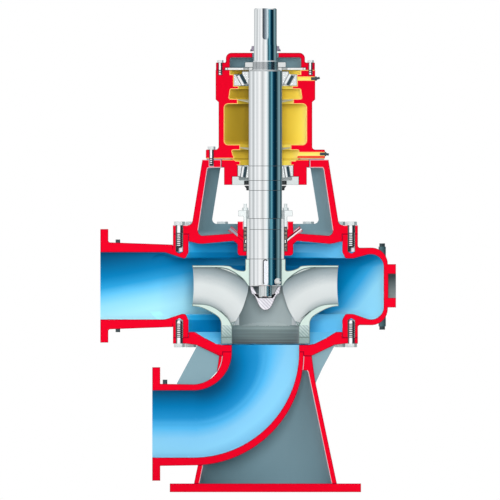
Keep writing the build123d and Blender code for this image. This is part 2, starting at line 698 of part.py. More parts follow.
# Shaft: whole, with a keyway at the drive end and one for the impeller
KEY_WIDTH = 17.0
IMPELLER_KEY_DEPTH = 8.0
DRIVE_KEY_WIDTH = 18.0
DRIVE_KEY_DEPTH = 7.0
DRIVE_KEY_LENGTH = 94.5
KEY_BOTTOM_Z = 627.0
KEY_TOP_Z = 704.0
PIN_PLACE = (37.5, 637.0)
PIN_RADIUS = 10.0
PIN_LENGTH = 16.0
SCREW_THREAD = 12.0
with BuildPart() as shaft:
    with BuildSketch(Plane.XZ):
        with BuildLine():
            Polyline(
                (0, SHAFT_END_Z),
                (IMPELLER_SEAT - 2, SHAFT_END_Z),
                (IMPELLER_SEAT, SHAFT_END_Z + 2),
                (IMPELLER_SEAT, SLEEVE_TOP_Z),
                (SHAFT_RADIUS, SLEEVE_TOP_Z),
                (SHAFT_RADIUS, 1272),
                (THREAD_RADIUS, 1277),
                (THREAD_RADIUS, 1302),
                (SEAL_JOURNAL, 1304),
                (SEAL_JOURNAL, DRIVE_STEP_Z),
                (DRIVE_RADIUS, DRIVE_STEP_Z),
                (DRIVE_RADIUS, SHAFT_TOP_Z - 3),
                (DRIVE_RADIUS - 3, SHAFT_TOP_Z),
                (0, SHAFT_TOP_Z),
                close=True,
            )
        make_face()
    revolve(axis=Axis.Z)
    with BuildSketch(Plane.XZ.offset(DRIVE_RADIUS - DRIVE_KEY_DEPTH)):
        with Locations((0, SHAFT_TOP_Z - DRIVE_KEY_LENGTH / 2 + DRIVE_KEY_WIDTH)):
            SlotOverall(DRIVE_KEY_LENGTH + 2 * DRIVE_KEY_WIDTH, DRIVE_KEY_WIDTH, rotation=90)
    extrude(amount=DRIVE_RADIUS, mode=Mode.SUBTRACT)
    with BuildSketch(Plane.XZ.offset(IMPELLER_SEAT - IMPELLER_KEY_DEPTH)):
        with Locations((0, (KEY_BOTTOM_Z + KEY_TOP_Z) / 2)):
            SlotOverall(KEY_TOP_Z - KEY_BOTTOM_Z, KEY_WIDTH, rotation=90)
    extrude(amount=IMPELLER_SEAT, mode=Mode.SUBTRACT)
    with BuildSketch(Plane.XZ.offset(PIN_LENGTH)):
        with Locations(PIN_PLACE):
            Circle(PIN_RADIUS)
    extrude(amount=IMPELLER_SEAT, mode=Mode.SUBTRACT)
    with Locations((0, 0, SHAFT_END_Z)):
        Cylinder(SCREW_THREAD, 60, align=(Align.CENTER, Align.CENTER, Align.MIN), mode=Mode.SUBTRACT)
with BuildPart() as impeller_key:
    with BuildSketch(Plane.XZ.offset(IMPELLER_SEAT - IMPELLER_KEY_DEPTH)):
        with Locations((0, (KEY_BOTTOM_Z + KEY_TOP_Z) / 2)):
            SlotOverall(KEY_TOP_Z - KEY_BOTTOM_Z - 0.4, KEY_WIDTH - 0.4, rotation=90)
    extrude(amount=IMPELLER_KEY_DEPTH + 5)
with BuildPart() as impeller_pin:
    with BuildSketch(Plane.XZ.offset(PIN_LENGTH)):
        with Locations(PIN_PLACE):
            Circle(PIN_RADIUS - 0.2)
    extrude(amount=PIN_LENGTH + 2)
    fillet(impeller_pin.faces().sort_by(Axis.Y)[0].edges(), 5)

# Impeller screw with its head inside the nose cone
NOSE_RADIUS = 47.0
NOSE_TIP_Z = 549.6
SCREW_HEAD = 19.5
NOSE_HOLLOW = 39.0
SCREW_HEAD_Z = 589.0
with BuildPart() as impeller_screw:
    with Locations((0, 0, SCREW_HEAD_Z)):
        Cylinder(SCREW_HEAD, SHAFT_END_Z - SCREW_HEAD_Z, align=(Align.CENTER, Align.CENTER, Align.MIN))
    chamfer(impeller_screw.edges().group_by(Axis.Z)[0], 3)
    with Locations((0, 0, SHAFT_END_Z)):
        Cylinder(SCREW_THREAD - 0.2, 55, align=(Align.CENTER, Align.CENTER, Align.MIN))
with BuildPart() as nose_cone:
    with BuildSketch(Plane.XZ):
        with BuildLine():
            tip = Spline(
                (0, NOSE_TIP_Z),
                (12, 553.5),
                (22.5, 569),
                (37, 598),
                (NOSE_RADIUS, SHAFT_END_Z),
                tangents=((1, 0), (0.15, 1)),
            )
            Polyline(
                tip @ 1,
                (NOSE_HOLLOW, SHAFT_END_Z),
                (SCREW_HEAD + 1, SCREW_HEAD_Z + 3),
                (SCREW_HEAD + 1, SCREW_HEAD_Z - 1),
                (0, SCREW_HEAD_Z - 1),
                tip @ 0,
            )
        make_face()
    revolve(axis=Axis.Z, revolution_arc=180)

# Shaft sleeve, locknut, spacer collar and the two rubber V-rings on the shaft
with BuildPart() as shaft_sleeve:
    half_ring(
        (IMPELLER_SEAT + SEAT_FIT, HUB_TOP_Z),
        (SLEEVE_RADIUS, HUB_TOP_Z, 1),
        (SLEEVE_RADIUS, SLEEVE_TOP_Z, 1),
        (IMPELLER_SEAT + SEAT_FIT, SLEEVE_TOP_Z),
    )
with BuildPart() as spacer_collar:
    half_ring(
        (THREAD_RADIUS + 1, 1277),
        (50, 1272),
        (50, 1284),
        (THREAD_RADIUS + 1, 1284),
    )
with BuildPart() as bearing_locknut:
    half_ring(
        (THREAD_RADIUS + SEAT_FIT, 1284),
        (62, 1284),
        (62, 1300, 3),
        (THREAD_RADIUS + SEAT_FIT, 1300),
    )
with BuildPart() as top_v_ring:
    half_ring(
        (SEAL_JOURNAL + SEAT_FIT, 1333),
        (38, 1333),
        (41, 1337),
        (46.8, 1332.5),
        (45, 1339),
        (42, 1341),
        (42, 1348.5, 2),
        (SEAL_JOURNAL + SEAT_FIT, 1348.5),
    )
with BuildPart() as lower_v_ring:
    half_ring(
        (SHAFT_RADIUS + SEAT_FIT, 912),
        (58, 912, 2),
        (58, 918),
        (64, 926),
        (62, 926.5),
        (55, 922),
        (SHAFT_RADIUS + SEAT_FIT, 922),
    )

# Impeller: a closed two-shroud wheel with the near half cut away. Its vanes fill the room between
# the shrouds, then a bent elliptical passage is swept out of each side of them
OUTLET_TOP_Z = 679.0
OUTLET_BOTTOM_Z = 569.0
BACK_Z = 685.6
VANE_NEAR = 2.0
VANE_FAR = 52.0
PASSAGE_HALF_HEIGHT = 59.0
PASSAGE_DEPTH = 38.0
EYE_WALL_REACH = 112.0
EYE_WALL_THICK = 12.0
with BuildPart() as passage:
    passage_line = Spline(
        (-IMPELLER_RADIUS - 30, VANE_NEAR, 624),
        (-160, VANE_NEAR, 620),
        (-98, VANE_NEAR, 592),
        (-52, VANE_NEAR, 530),
    )
    with BuildSketch(Plane(passage_line @ 0, x_dir=(0, 1, 0), z_dir=passage_line % 0)):
        Ellipse(PASSAGE_DEPTH, PASSAGE_HALF_HEIGHT)
    sweep(path=passage_line)
with BuildPart() as vanes:
    for side in (-1, 1):
        with BuildSketch(Plane.XZ.offset(-VANE_NEAR)):
            with BuildLine():
                lead = Spline(
                    (side * 52, 622),
                    (side * 57, 592),
                    (side * 72, 549),
                    (side * 99, 502),
                    tangents=((-0.05 * side, -1), (0.55 * side, -1)),
                )
                Polyline(
                    lead @ 1,
                    (side * (IMPELLER_RADIUS + 5), 502),
                    (side * (IMPELLER_RADIUS + 5), BACK_Z),
                    (side * 52, BACK_Z),
                    lead @ 0,
                )
            make_face()
        extrude(amount=-(VANE_FAR - VANE_NEAR))
    with BuildSketch(Plane.XY.offset(502)):
        with BuildLine():
            eye_line = ThreePointArc((-98, VANE_FAR - 22), (0, EYE_WALL_REACH), (98, VANE_FAR - 22))
            offset(eye_line, amount=EYE_WALL_THICK / 2)
        make_face()
    extrude(amount=BACK_Z - 502)
    add(passage.part, mode=Mode.SUBTRACT)
    add(passage.part.mirror(Plane.YZ), mode=Mode.SUBTRACT)
    with BuildSketch(Plane.XZ):
        with BuildLine():
            Line((0, 502), (104, 502))
            Spline(
                (104, 502),
                (119, 529),
                (150, 556),
                (IMPELLER_RADIUS - 0.5, OUTLET_BOTTOM_Z - 2),
                tangents=((0.4, 1), (1, 0.02)),
            )
            Polyline(
                (IMPELLER_RADIUS - 0.5, OUTLET_BOTTOM_Z - 2),
                (IMPELLER_RADIUS - 0.5, OUTLET_TOP_Z + 2),
                (150, OUTLET_TOP_Z + 2),
            )
            Spline(
                (150, OUTLET_TOP_Z + 2),
                (110, 675),
                (77, 655),
                (52, 622),
                tangents=((-1, 0), (-0.5, -1)),
            )
            Polyline((52, 622), (0, 622), (0, 502))
        make_face()
    revolve(axis=Axis.Z, revolution_arc=180, mode=Mode.INTERSECT)
with BuildPart() as impeller:
    with BuildSketch(Plane.XZ):
        with BuildLine():
            Polyline(
                (IMPELLER_SEAT + SEAT_FIT, SHAFT_END_Z),
                (IMPELLER_SEAT + SEAT_FIT, HUB_TOP_Z),
                (60.8, HUB_TOP_Z),
                (60.8, 673),
            )
            Spline((60.8, 673), (72, 669), (100, 678), (140, BACK_Z), tangents=((0.2, -1), (1, 0.02)))
            Polyline(
                (140, BACK_Z),
                (IMPELLER_RADIUS, BACK_Z),
                (IMPELLER_RADIUS, OUTLET_TOP_Z),
                (150, OUTLET_TOP_Z),
            )
            Spline(
                (150, OUTLET_TOP_Z),
                (110, 672.5),
                (77, 652),
                (53, SHAFT_END_Z),
                tangents=((-1, 0), (-0.5, -1)),
            )
            Line((53, SHAFT_END_Z), (IMPELLER_SEAT + SEAT_FIT, SHAFT_END_Z))
        make_face()
    with BuildSketch(Plane.XZ):
        with BuildLine():
            Polyline(
                (EYE_RADIUS, NECK_Z),
                (NECK_RADIUS, NECK_Z),
                (NECK_RADIUS, 506),
            )
            Spline(
                (NECK_RADIUS, 506),
                (158, 540),
                (IMPELLER_RADIUS, 562),
                tangents=((0, 1), (1, 0.02)),
            )
            Line((IMPELLER_RADIUS, 562), (IMPELLER_RADIUS, OUTLET_BOTTOM_Z))
            Spline(
                (IMPELLER_RADIUS, OUTLET_BOTTOM_Z),
                (160, 561),
                (121, 533),
                (EYE_RADIUS, 500),
                tangents=((-1, -0.02), (-0.3, -1)),
            )
            Line((EYE_RADIUS, 500), (EYE_RADIUS, NECK_Z))
        make_face()
    revolve(axis=Axis.Z, revolution_arc=180)
    add(vanes.part)
with BuildPart() as wear_ring:
    half_ring((EYE_RADIUS, RING_Z), (NECK_RADIUS, RING_Z), (NECK_RADIUS, NECK_Z), (EYE_RADIUS, NECK_Z))

# Bolts: hex heads on plain shanks, whole where they stand in the section plane
CASING_HEAD = 14.7
CASING_HEAD_HEIGHT = 11.0
HOUSING_HEAD = 10.5
CAP_HEAD = 8.6
HEAD_HEIGHT = 9.5
TOP_BOLT_LENGTH = 68.0
BOLT_END_GAP = 1.0


def bolts(places, seat_z, shank, length, head, height):
    """Bolts down from a seat, or up from it where the length is negative."""
    with BuildSketch(Plane.XY.offset(seat_z)) as shanks:
        with Locations(*places):
            Circle(shank)
    extrude(shanks.sketch, amount=-length)
    with BuildSketch(Plane.XY.offset(seat_z)) as heads:
        with Locations(*places):
            RegularPolygon(head, 6, major_radius=False)
    extrude(heads.sketch, amount=height if length > 0 else -height)


casing_places = around(CASING_BOLT_CIRCLE, CASING_BOLT_COUNT)
cap_places = around(CAP_BOLT_CIRCLE, CAP_BOLT_COUNT)
bottom_bolt_length = BOTTOM_JOINT_Z + CASING_BOLT_DEPTH - COVER_SEAT_Z - BOLT_END_GAP
housing_bolt_length = FOOT_TOP_Z - HOUSING_BOLT_END_Z - BOLT_END_GAP
cap_bolt_length = CAP_FLANGE_Z - CAP_BOLT_END_Z - BOLT_END_GAP
with BuildPart() as casing_top_bolts:
    bolts(casing_places, COVER_TOP_Z, CASING_BOLT, TOP_BOLT_LENGTH, CASING_HEAD, CASING_HEAD_HEIGHT)
with BuildPart() as casing_bottom_bolts:
    bolts(casing_places, COVER_SEAT_Z, CASING_BOLT, -bottom_bolt_length, CASING_HEAD, CASING_HEAD_HEIGHT)
with BuildPart() as housing_bolts:
    bolts(housing_places, FOOT_TOP_Z, HOUSING_BOLT, housing_bolt_length, HOUSING_HEAD, HEAD_HEIGHT)
with BuildPart() as cap_bolts:
    bolts(cap_places, CAP_FLANGE_Z, CAP_BOLT, cap_bolt_length, CAP_HEAD, HEAD_HEIGHT - 2)

# Grease fittings in the two ports, standing out at an angle
with BuildPart() as upper_grease_fitting:
    with Locations(Plane(origin=(138, 0, UPPER_PORT_Z), z_dir=(1, 0, 0))):
        Cylinder(PORT_RADIUS - 0.3, 18, align=(Align.CENTER, Align.CENTER, Align.MIN))
    with Locations(Plane(origin=(HOUSING_OUTER, 0, UPPER_PORT_Z), z_dir=(1, 0, 0))):
        Cylinder(6.5, 5, align=(Align.CENTER, Align.CENTER, Align.MIN))
    with Locations(Plane(origin=(HOUSING_OUTER + 4, 0, UPPER_PORT_Z), z_dir=(1, 0, 0.25))):
        Cylinder(3.6, 10, align=(Align.CENTER, Align.CENTER, Align.MIN))
with BuildPart() as lower_grease_fitting:
    with Locations(Plane(origin=(165, 0, LOWER_PORT_Z), z_dir=(1, 0, 0))):
        Cylinder(PORT_RADIUS - 0.3, 16, align=(Align.CENTER, Align.CENTER, Align.MIN))
    with Locations(Plane(origin=(HOUSING_FOOT, 0, LOWER_PORT_Z), z_dir=(1, 0, 0))):
        Cylinder(6.5, 4, align=(Align.CENTER, Align.CENTER, Align.MIN))
    with Locations(Plane(origin=(HOUSING_FOOT + 3, 0, LOWER_PORT_Z), z_dir=(1, 0, -0.2))):
        Cylinder(3.6, 9, align=(Align.CENTER, Align.CENTER, Align.MIN))

# Plugs: gauge taps on the nozzles, vent and drain on the scroll
TAP_SETBACK = 29.0
TAP_BACK = 16.0
PLUG_RADIUS = 6.0
discharge_tap = TAP_SETBACK + FLANGE_THICK - DISCHARGE_FACE
suction_tap = TAP_SETBACK / 2 + FLANGE_THICK - SUCTION_FACE
with BuildPart() as nozzle_plugs:
    for z, up in ((DISCHARGE_Z + 130.1, 1), (DISCHARGE_Z - 130.1, -1)):
        with BuildSketch(Plane(origin=(discharge_tap, TAP_BACK, z), z_dir=(0, 0, up))):
            RegularPolygon(PLUG_RADIUS, 6, major_radius=False)
        extrude(amount=10)
with BuildPart() as vent_drain_plugs:
    for z, up in ((VENT_TOP_Z, 1), (VENT_BOTTOM_Z, -1)):
        with BuildSketch(Plane(origin=(VENT_REACH, VENT_BACK, z), z_dir=(0, 0, up))):
            RegularPolygon(PLUG_RADIUS, 4, major_radius=False)
        extrude(amount=10)
with BuildPart() as suction_plug:
    with BuildSketch(Plane(origin=(suction_tap, TAP_BACK, SUCTION_Z + 118), z_dir=(0, 0, 1))):
        RegularPolygon(PLUG_RADIUS, 6, major_radius=False)
    extrude(amount=16)
    add(elbow_body.part, mode=Mode.SUBTRACT)

pieces = {
    "base_plate": base_plate,
    "pedestal": pedestal,
    "suction_elbow": suction_elbow,
    "suction_cover": suction_cover,
    "nozzle_rib": nozzle_rib,
    "pedestal_rib": pedestal_rib,
    "volute_casing": volute_casing,
    "bracket": bracket,
    "packing_rings": packing_rings,
    "lantern_ring": lantern_ring,
    "packing_gland": packing_gland,
    "gland_studs": gland_studs,
    "bearing_housing": bearing_housing,
    "bearing_cap": bearing_cap,
    "cap_seal_ring": cap_seal_ring,
    "bearing_shield": bearing_shield,
    "bearing_cartridge": bearing_cartridge,
    "housing_shim": housing_shim,
    "housing_o_ring": housing_o_ring,
    "seal_plate": seal_plate,
    "lip_seal": lip_seal,
    "upper_outer_ring": upper_outer_ring,
    "upper_inner_ring": upper_inner_ring,
    "upper_rollers": upper_rollers,
    "lower_outer_ring": lower_outer_ring,
    "lower_inner_ring": lower_inner_ring,
    "lower_rollers": lower_rollers,
    "shaft": shaft,
    "impeller_key": impeller_key,
    "impeller_pin": impeller_pin,
    "impeller_screw": impeller_screw,
    "nose_cone": nose_cone,
    "shaft_sleeve": shaft_sleeve,
    "spacer_collar": spacer_collar,
    "bearing_locknut": bearing_locknut,
    "top_v_ring": top_v_ring,
    "lower_v_ring": lower_v_ring,
    "impeller": impeller,
    "wear_ring": wear_ring,
    "casing_top_bolts": casing_top_bolts,
    "casing_bottom_bolts": casing_bottom_bolts,
    "housing_bolts": housing_bolts,
    "cap_bolts": cap_bolts,
    "upper_grease_fitting": upper_grease_fitting,
    "lower_grease_fitting": lower_grease_fitting,
    "nozzle_plugs": nozzle_plugs,
    "vent_drain_plugs": vent_drain_plugs,
    "suction_plug": suction_plug,
}
for name, piece in pieces.items():
    piece.part.label = name
    export_step(piece.part, f"parts/{name}.step")
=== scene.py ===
from math import cos, hypot, pi, radians, sin

import bmesh
import bpy
from mathutils import Matrix, Vector


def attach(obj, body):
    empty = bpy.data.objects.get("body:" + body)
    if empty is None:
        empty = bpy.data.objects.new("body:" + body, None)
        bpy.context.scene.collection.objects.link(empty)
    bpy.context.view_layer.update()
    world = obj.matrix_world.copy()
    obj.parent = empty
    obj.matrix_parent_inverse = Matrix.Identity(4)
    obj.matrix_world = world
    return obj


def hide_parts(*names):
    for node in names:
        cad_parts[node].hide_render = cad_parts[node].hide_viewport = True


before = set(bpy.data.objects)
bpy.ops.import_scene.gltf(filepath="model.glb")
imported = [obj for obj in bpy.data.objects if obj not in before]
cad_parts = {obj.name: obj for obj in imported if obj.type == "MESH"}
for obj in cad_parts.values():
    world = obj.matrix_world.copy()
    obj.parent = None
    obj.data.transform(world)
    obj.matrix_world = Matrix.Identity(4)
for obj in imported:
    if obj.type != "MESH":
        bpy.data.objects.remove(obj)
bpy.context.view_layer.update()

# The room: a white surround over a pale floor, lit softly from the upper left in front and seen
# square on to the cut face, as the picture is. Bright metal mirrors the white room with a dark
# teal curtain to its right, which only reflections see.
VIEW_WIDTH = 1.5115
VIEW_PLACE = (-0.0466, -5.0, 0.7319)
AMBIENT = 0.27
OVERHEAD_START, OVERHEAD_FULL = 0.45, 0.8
WHITE = (255, 255, 255)
CEILING = (238, 240, 241)


def colour(red, green, blue):
    """A paint's linear colour from its 0 to 255 tones."""
    parts = [tone / 255 for tone in (red, green, blue)]
    return tuple(v / 12.92 if v <= 0.04045 else ((v + 0.055) / 1.055) ** 2.4 for v in parts) + (1.0,)


def node(tree, kind, *values, **inputs):
    """Adds a shader node; each input is a plain value or another node's output."""
    added = tree.nodes.new("ShaderNode" + kind)
    given = [(added.inputs[i], value) for i, value in enumerate(values)]
    given += [(added.inputs[name.replace("_", " ")], value) for name, value in inputs.items()]
    for socket, value in given:
        if isinstance(value, bpy.types.NodeSocket):
            tree.links.new(value, socket)
        else:
            socket.default_value = value
    return added


def maths(tree, operation, *values):
    """One step of arithmetic in a node tree."""
    step = node(tree, "Math", *values)
    step.operation = operation
    return step.outputs[0]


def ramp(tree, factor, stops):
    """A colour ramp through stops, each a place, red, green and blue."""
    blend = node(tree, "ValToRGB", factor)
    elements = blend.color_ramp.elements
    while len(elements) < len(stops):
        elements.new(1.0)
    for element, (place, *tones) in zip(elements, stops):
        element.position = place
        element.color = colour(*tones)
    return blend.outputs["Color"]


scene = bpy.context.scene
scene.view_settings.view_transform = "Standard"

world = bpy.data.worlds.new("white_room")
scene.world = world
world.use_nodes = True
tree = world.node_tree
tree.nodes.clear()
path = node(tree, "LightPath")
ray = node(tree, "SeparateXYZ", node(tree, "TexCoord").outputs["Generated"])
turn = maths(tree, "ARCTAN2", ray.outputs["X"], maths(tree, "MULTIPLY", ray.outputs["Y"], -1.0))
across = maths(tree, "MULTIPLY_ADD", turn, 1 / (2 * pi), 0.5)
curtain = ramp(tree, across, [
    (0.000, 200, 202, 203),
    (0.100, 188, 192, 194),
    (0.182, 238, 241, 242),
    (0.240, 184, 188, 190),
    (0.296, 250, 252, 253),
    (0.328, 214, 217, 219),
    (0.388, 255, 255, 255),
    (0.442, 196, 199, 200),
    (0.508, 255, 255, 255),
    (0.535, 228, 240, 243),
    (0.575, 60, 106, 120),
    (0.592, 28, 82, 96),
    (0.622, 104, 170, 188),
    (0.655, 4, 58, 84),
    (0.690, 2, 36, 54),
    (0.735, 8, 36, 46),
    (0.790, 110, 144, 152),
    (0.828, 130, 162, 170),
    (0.870, 42, 72, 80),
    (1.000, 130, 144, 148),
])
height = maths(tree, "ABSOLUTE", ray.outputs["Z"])
overhead = node(tree, "MapRange", height, OVERHEAD_START, OVERHEAD_FULL).outputs[0]
mirrored = node(tree, "MixRGB", overhead, curtain, colour(*CEILING)).outputs[0]
backdrop = node(tree, "Background", colour(*WHITE), 1.0)
ambient = node(tree, "Background", colour(*WHITE), AMBIENT)
reflected = node(tree, "Background", mirrored, 1.0)
lit = node(tree, "MixShader", path.outputs["Is Glossy Ray"], ambient.outputs[0], reflected.outputs[0])
clear = maths(tree, "MAXIMUM", path.outputs["Is Camera Ray"], path.outputs["Is Transmission Ray"])
seen = node(tree, "MixShader", clear, lit.outputs[0], backdrop.outputs[0])
node(tree, "OutputWorld", seen.outputs[0])

for name, source, power, spread in (("key", (-0.45, -0.70, 0.60), 0.45, 50),
                                    ("front", (0.02, -1.00, 0.08), 2.05, 24),
                                    ("back", (0.55, 0.75, 0.70), 1.7, 60)):
    lamp = bpy.data.lights.new(name, "SUN")
    lamp.energy = power
    lamp.angle = radians(spread)
    stand = bpy.data.objects.new(name, lamp)
    stand.rotation_euler = Vector(source).to_track_quat("Z", "Y").to_euler()
    stand.visible_glossy = False
    scene.collection.objects.link(stand)

camera = bpy.data.objects.new("camera", bpy.data.cameras.new("camera"))
camera.data.type = "ORTHO"
camera.data.ortho_scale = VIEW_WIDTH
camera.location = VIEW_PLACE
camera.rotation_euler = (radians(90), 0, 0)
scene.collection.objects.link(camera)
scene.camera = camera

# Floor: smooth pale screed, poured level under the base plate. It is the stage and no piece of the
# pump, though its finish is mixed as the pump's own are.
FLOOR_SIZE = 6.0
HATCH_SCALE = 60.0


def finish(name, tones, lean=(0.0, 0.0, 0.0), slope=(0.0, 0.0, 0.0), level=0.5, drift=6.0, patchy=0.2,
           grain=350.0, rise=0.0001, gloss=(0.45, 0.6), metallic=0.0, specular=0.4,
           stretch=(1.0, 1.0, 1.0), hatch=0.0, even=0.0):
    """A finish over a fine grain. Its tone drifts in patches, leans lighter or darker with the way a
    face looks as painted shade, slopes from one side of the piece to the other, mostly as painted shade
    too, and may be hatched with diagonal machining lines. A hollow's paint is lit evenly, as if its
    walls looked partly out of the cut."""
    material = bpy.data.materials.new(name)
    material.use_nodes = True
    tree = material.node_tree
    shader = tree.nodes["Principled BSDF"]
    shader.inputs["Metallic"].default_value = metallic
    shader.inputs["Specular IOR Level"].default_value = specular
    coordinates = node(tree, "TexCoord")
    place = node(tree, "Mapping", coordinates.outputs["Object"], Scale=stretch).outputs[0]
    patches = node(tree, "TexNoise", place, Scale=drift, Detail=3.0).outputs["Fac"]
    specks = node(tree, "TexNoise", place, Scale=grain, Detail=2.0).outputs["Fac"]
    facing = node(tree, "VectorMath", coordinates.outputs["Normal"], lean)
    facing.operation = "DOT_PRODUCT"
    along = node(tree, "VectorMath", coordinates.outputs["Object"], slope)
    along.operation = "DOT_PRODUCT"
    middle = maths(tree, "MULTIPLY_ADD", patches, patchy, level - patchy / 2)
    leaning = maths(tree, "ADD", facing.outputs["Value"], middle)
    tone = maths(tree, "ADD", leaning, along.outputs["Value"])
    if hatch:
        lines = node(tree, "TexWave", coordinates.outputs["Object"], Scale=HATCH_SCALE)
        lines.bands_direction = "DIAGONAL"
        tone = maths(tree, "MULTIPLY_ADD", lines.outputs["Fac"], hatch, tone)
    tree.links.new(ramp(tree, tone, tones), shader.inputs["Base Color"])
    shine = node(tree, "MapRange", specks, 0.3, 0.7, *gloss)
    tree.links.new(shine.outputs[0], shader.inputs["Roughness"])
    bump = node(tree, "Bump", Strength=0.6, Distance=rise, Height=specks)
    if even:
        turned = node(tree, "VectorMath", coordinates.outputs["Normal"], (0.0, -even, 0.0))
        outward = node(tree, "VectorMath", turned.outputs[0])
        outward.operation = "NORMALIZE"
        tree.links.new(outward.outputs[0], bump.inputs["Normal"])
        material.cycles.use_bump_map_correction = False
    tree.links.new(bump.outputs[0], shader.inputs["Normal"])
    return material


def two_tone(name, dark, pale, **more):
    """A finish that drifts between two close tones, each red, green and blue."""
    return finish(name, [(0.3, *dark), (0.7, *pale)], **more)


screed = two_tone("screed", (240, 240, 238), (248, 248, 247), drift=1.5)
mesh = bpy.data.meshes.new("floor")
skin = bmesh.new()
bmesh.ops.create_grid(skin, x_segments=4, y_segments=4, size=FLOOR_SIZE)
skin.to_mesh(mesh)
skin.free()
mesh.materials.append(screed)
floor = bpy.data.objects.new("floor", mesh)
scene.collection.objects.link(floor)

# Base plate: cast iron, 26 mm thick, with anchor holes at its back corners. Like every piece that
# the section plane meets it is painted red where it is cut, and slate grey where it is whole.
SHARP = radians(32)
CUT_LINE = 0.0018
JOIN = 0.00001
TOUCH = 0.000001
CUT, EDGE, INSIDE, HIGHLIGHT_RIM, OUTSIDE = range(5)
section_red = finish("section_red", [(0.2, 216, 4, 36), (0.7, 243, 4, 40)], slope=(0.0, 0.0, -0.28),
                     level=0.68, drift=14.0, gloss=(0.5, 0.6), specular=0.03, rise=0.00004)
section_edge = two_tone("section_edge", (150, 0, 30), (182, 6, 42), drift=40.0, gloss=(0.5, 0.6),
                        specular=0.03, rise=0.00004)
# A pale line along cut edges beside hollows: a painted highlight, as of light on the edge.
edge_highlight = two_tone("edge_highlight", (206, 160, 172), (232, 200, 208), drift=40.0, gloss=(0.5, 0.6),
                     specular=0.03, rise=0.00004)
# Slate paint whose tone is painted lighter on faces that look up and to the left, as shade.
shaded_slate = finish("shaded_slate", [(0.0, 86, 114, 121), (0.5, 133, 164, 175), (1.0, 156, 184, 194)],
                     lean=(-0.20, 0.0, 0.30), level=0.54, patchy=0.25, grain=240.0, rise=0.0004,
                     gloss=(0.42, 0.62), specular=0.2)
castings = (section_red, section_edge, shaded_slate, edge_highlight, shaded_slate)


def in_section(place, facing, depth=0.0):
    """True for a face that the section plane made, or one flat behind it at a depth."""
    return abs(place.y - depth) < 0.0002 and facing.y < -0.99


def show(name, body, slot, mesh, *stands_for):
    """Puts a mesh on its body for the CAD pieces it stands for; metal mirrors only the room."""
    piece = bpy.data.objects.new(name, mesh)
    piece.visible_glossy = False
    scene.collection.objects.link(piece)
    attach(piece, body)
    if stands_for:
        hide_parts(*stands_for)
    return piece


def settle(skin, name, paints, body, slot, *stands_for):
    """Closes a modelled skin: soft and sharp edges, its paints, and its place on a body."""
    for face in skin.faces:
        face.smooth = True
    for edge in skin.edges:
        edge.smooth = edge.calc_face_angle(0.0) < SHARP
    mesh = bpy.data.meshes.new(name)
    skin.to_mesh(mesh)
    skin.free()
    for stray in ("custom_normal", "sharp_face"):
        if stray in mesh.attributes:
            mesh.attributes.remove(mesh.attributes[stray])
    for paint in paints:
        mesh.materials.append(paint)
    piece = show(name, body, slot, mesh, *stands_for)
    weights = piece.modifiers.new("even_normals", "WEIGHTED_NORMAL")
    weights.keep_sharp = True


def merged(name):
    """A CAD piece's triangles joined into one skin, its flat faces whole again."""
    skin = bmesh.new()
    skin.from_mesh(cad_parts[name].data)
    bmesh.ops.remove_doubles(skin, verts=skin.verts, dist=JOIN)
    bmesh.ops.dissolve_limit(skin, angle_limit=radians(0.2), verts=skin.verts, edges=skin.edges)
    return skin


def edged(skin, width=CUT_LINE, depth=0.0, lines={}):
    """Draws a narrow line round each cut face, in the paint that lines gives for what it runs beside,
    or else the edge paint."""
    cut = [face for face in skin.faces if in_section(face.calc_center_median(), face.normal, depth)]
    rim = bmesh.ops.inset_region(skin, faces=cut, thickness=width, use_even_offset=True)
    for face in rim["faces"]:
        beside = {other.material_index for edge in face.edges for other in edge.link_faces}
        face.material_index = next((lines[paint] for paint in beside if paint in lines), EDGE)


def parted(skin, cuts):
    """Draws the edges in which planes, each a point and a direction, meet a skin."""
    for point, direction in cuts:
        bmesh.ops.bisect_plane(skin, geom=skin.verts[:] + skin.edges[:] + skin.faces[:], dist=TOUCH,
                               plane_co=point, plane_no=direction)


def everywhere(paint):
    """The same paint on every face that isn't cut."""
    return lambda place, facing: paint


def dressed(name, slot, paints, choose, body="pump_frame", lines={}, width=CUT_LINE, cuts=(),
            cut_paint=lambda place: CUT):
    """A sectioned casting: red cut faces with a darker edge, and the rest painted by place."""
    skin = merged(name)
    parted(skin, cuts)
    for face in skin.faces:
        place = face.calc_center_median()
        if in_section(place, face.normal):
            face.material_index = cut_paint(place)
        else:
            face.material_index = choose(place, face.normal)
    edged(skin, width, lines=lines)
    settle(skin, name + "_casting", paints, body, slot, name)


dressed("base_plate", "painted_iron", castings, everywhere(INSIDE))

# Pedestal and ribs: a hollow cone that carries the casing and the web under the nozzle, cast in
# grey iron and painted slate. The ribs stand behind the section plane, so they show no cut face.


def pedestal_wall(place, facing):
    """Edged with a pale line, a painted highlight, where the cone is hollow."""
    return INSIDE if facing.x * place.x < 0.0 and abs(facing.z) < 0.9 else OUTSIDE


dressed("pedestal", "painted_iron", castings, pedestal_wall, lines={INSIDE: HIGHLIGHT_RIM})
for name in ("nozzle_rib", "pedestal_rib"):
    dressed(name, "painted_iron", castings, everywhere(INSIDE))

# Suction elbow: cast iron with its pipe flange, swept round from the side to the impeller's eye.
# Everything the liquid touches is painted blue, with painted shade that makes it dark overhead and pale
# underneath.
BEND = 0.218
SUCTION_Z = 0.206
SUCTION_FLANGE = 0.33
BORE = 0.1022
BORE_SLACK = 0.006
WET = 5


def blue_with_painted_shade(name, tones, drift=3.0, grain=200.0, even=3.0, **more):
    """The blue of a wetted wall, in smooth fades of painted shade."""
    return finish(name, tones, drift=drift, patchy=0.08, grain=grain, gloss=(0.42, 0.55), specular=0.1,
                  even=even, **more)


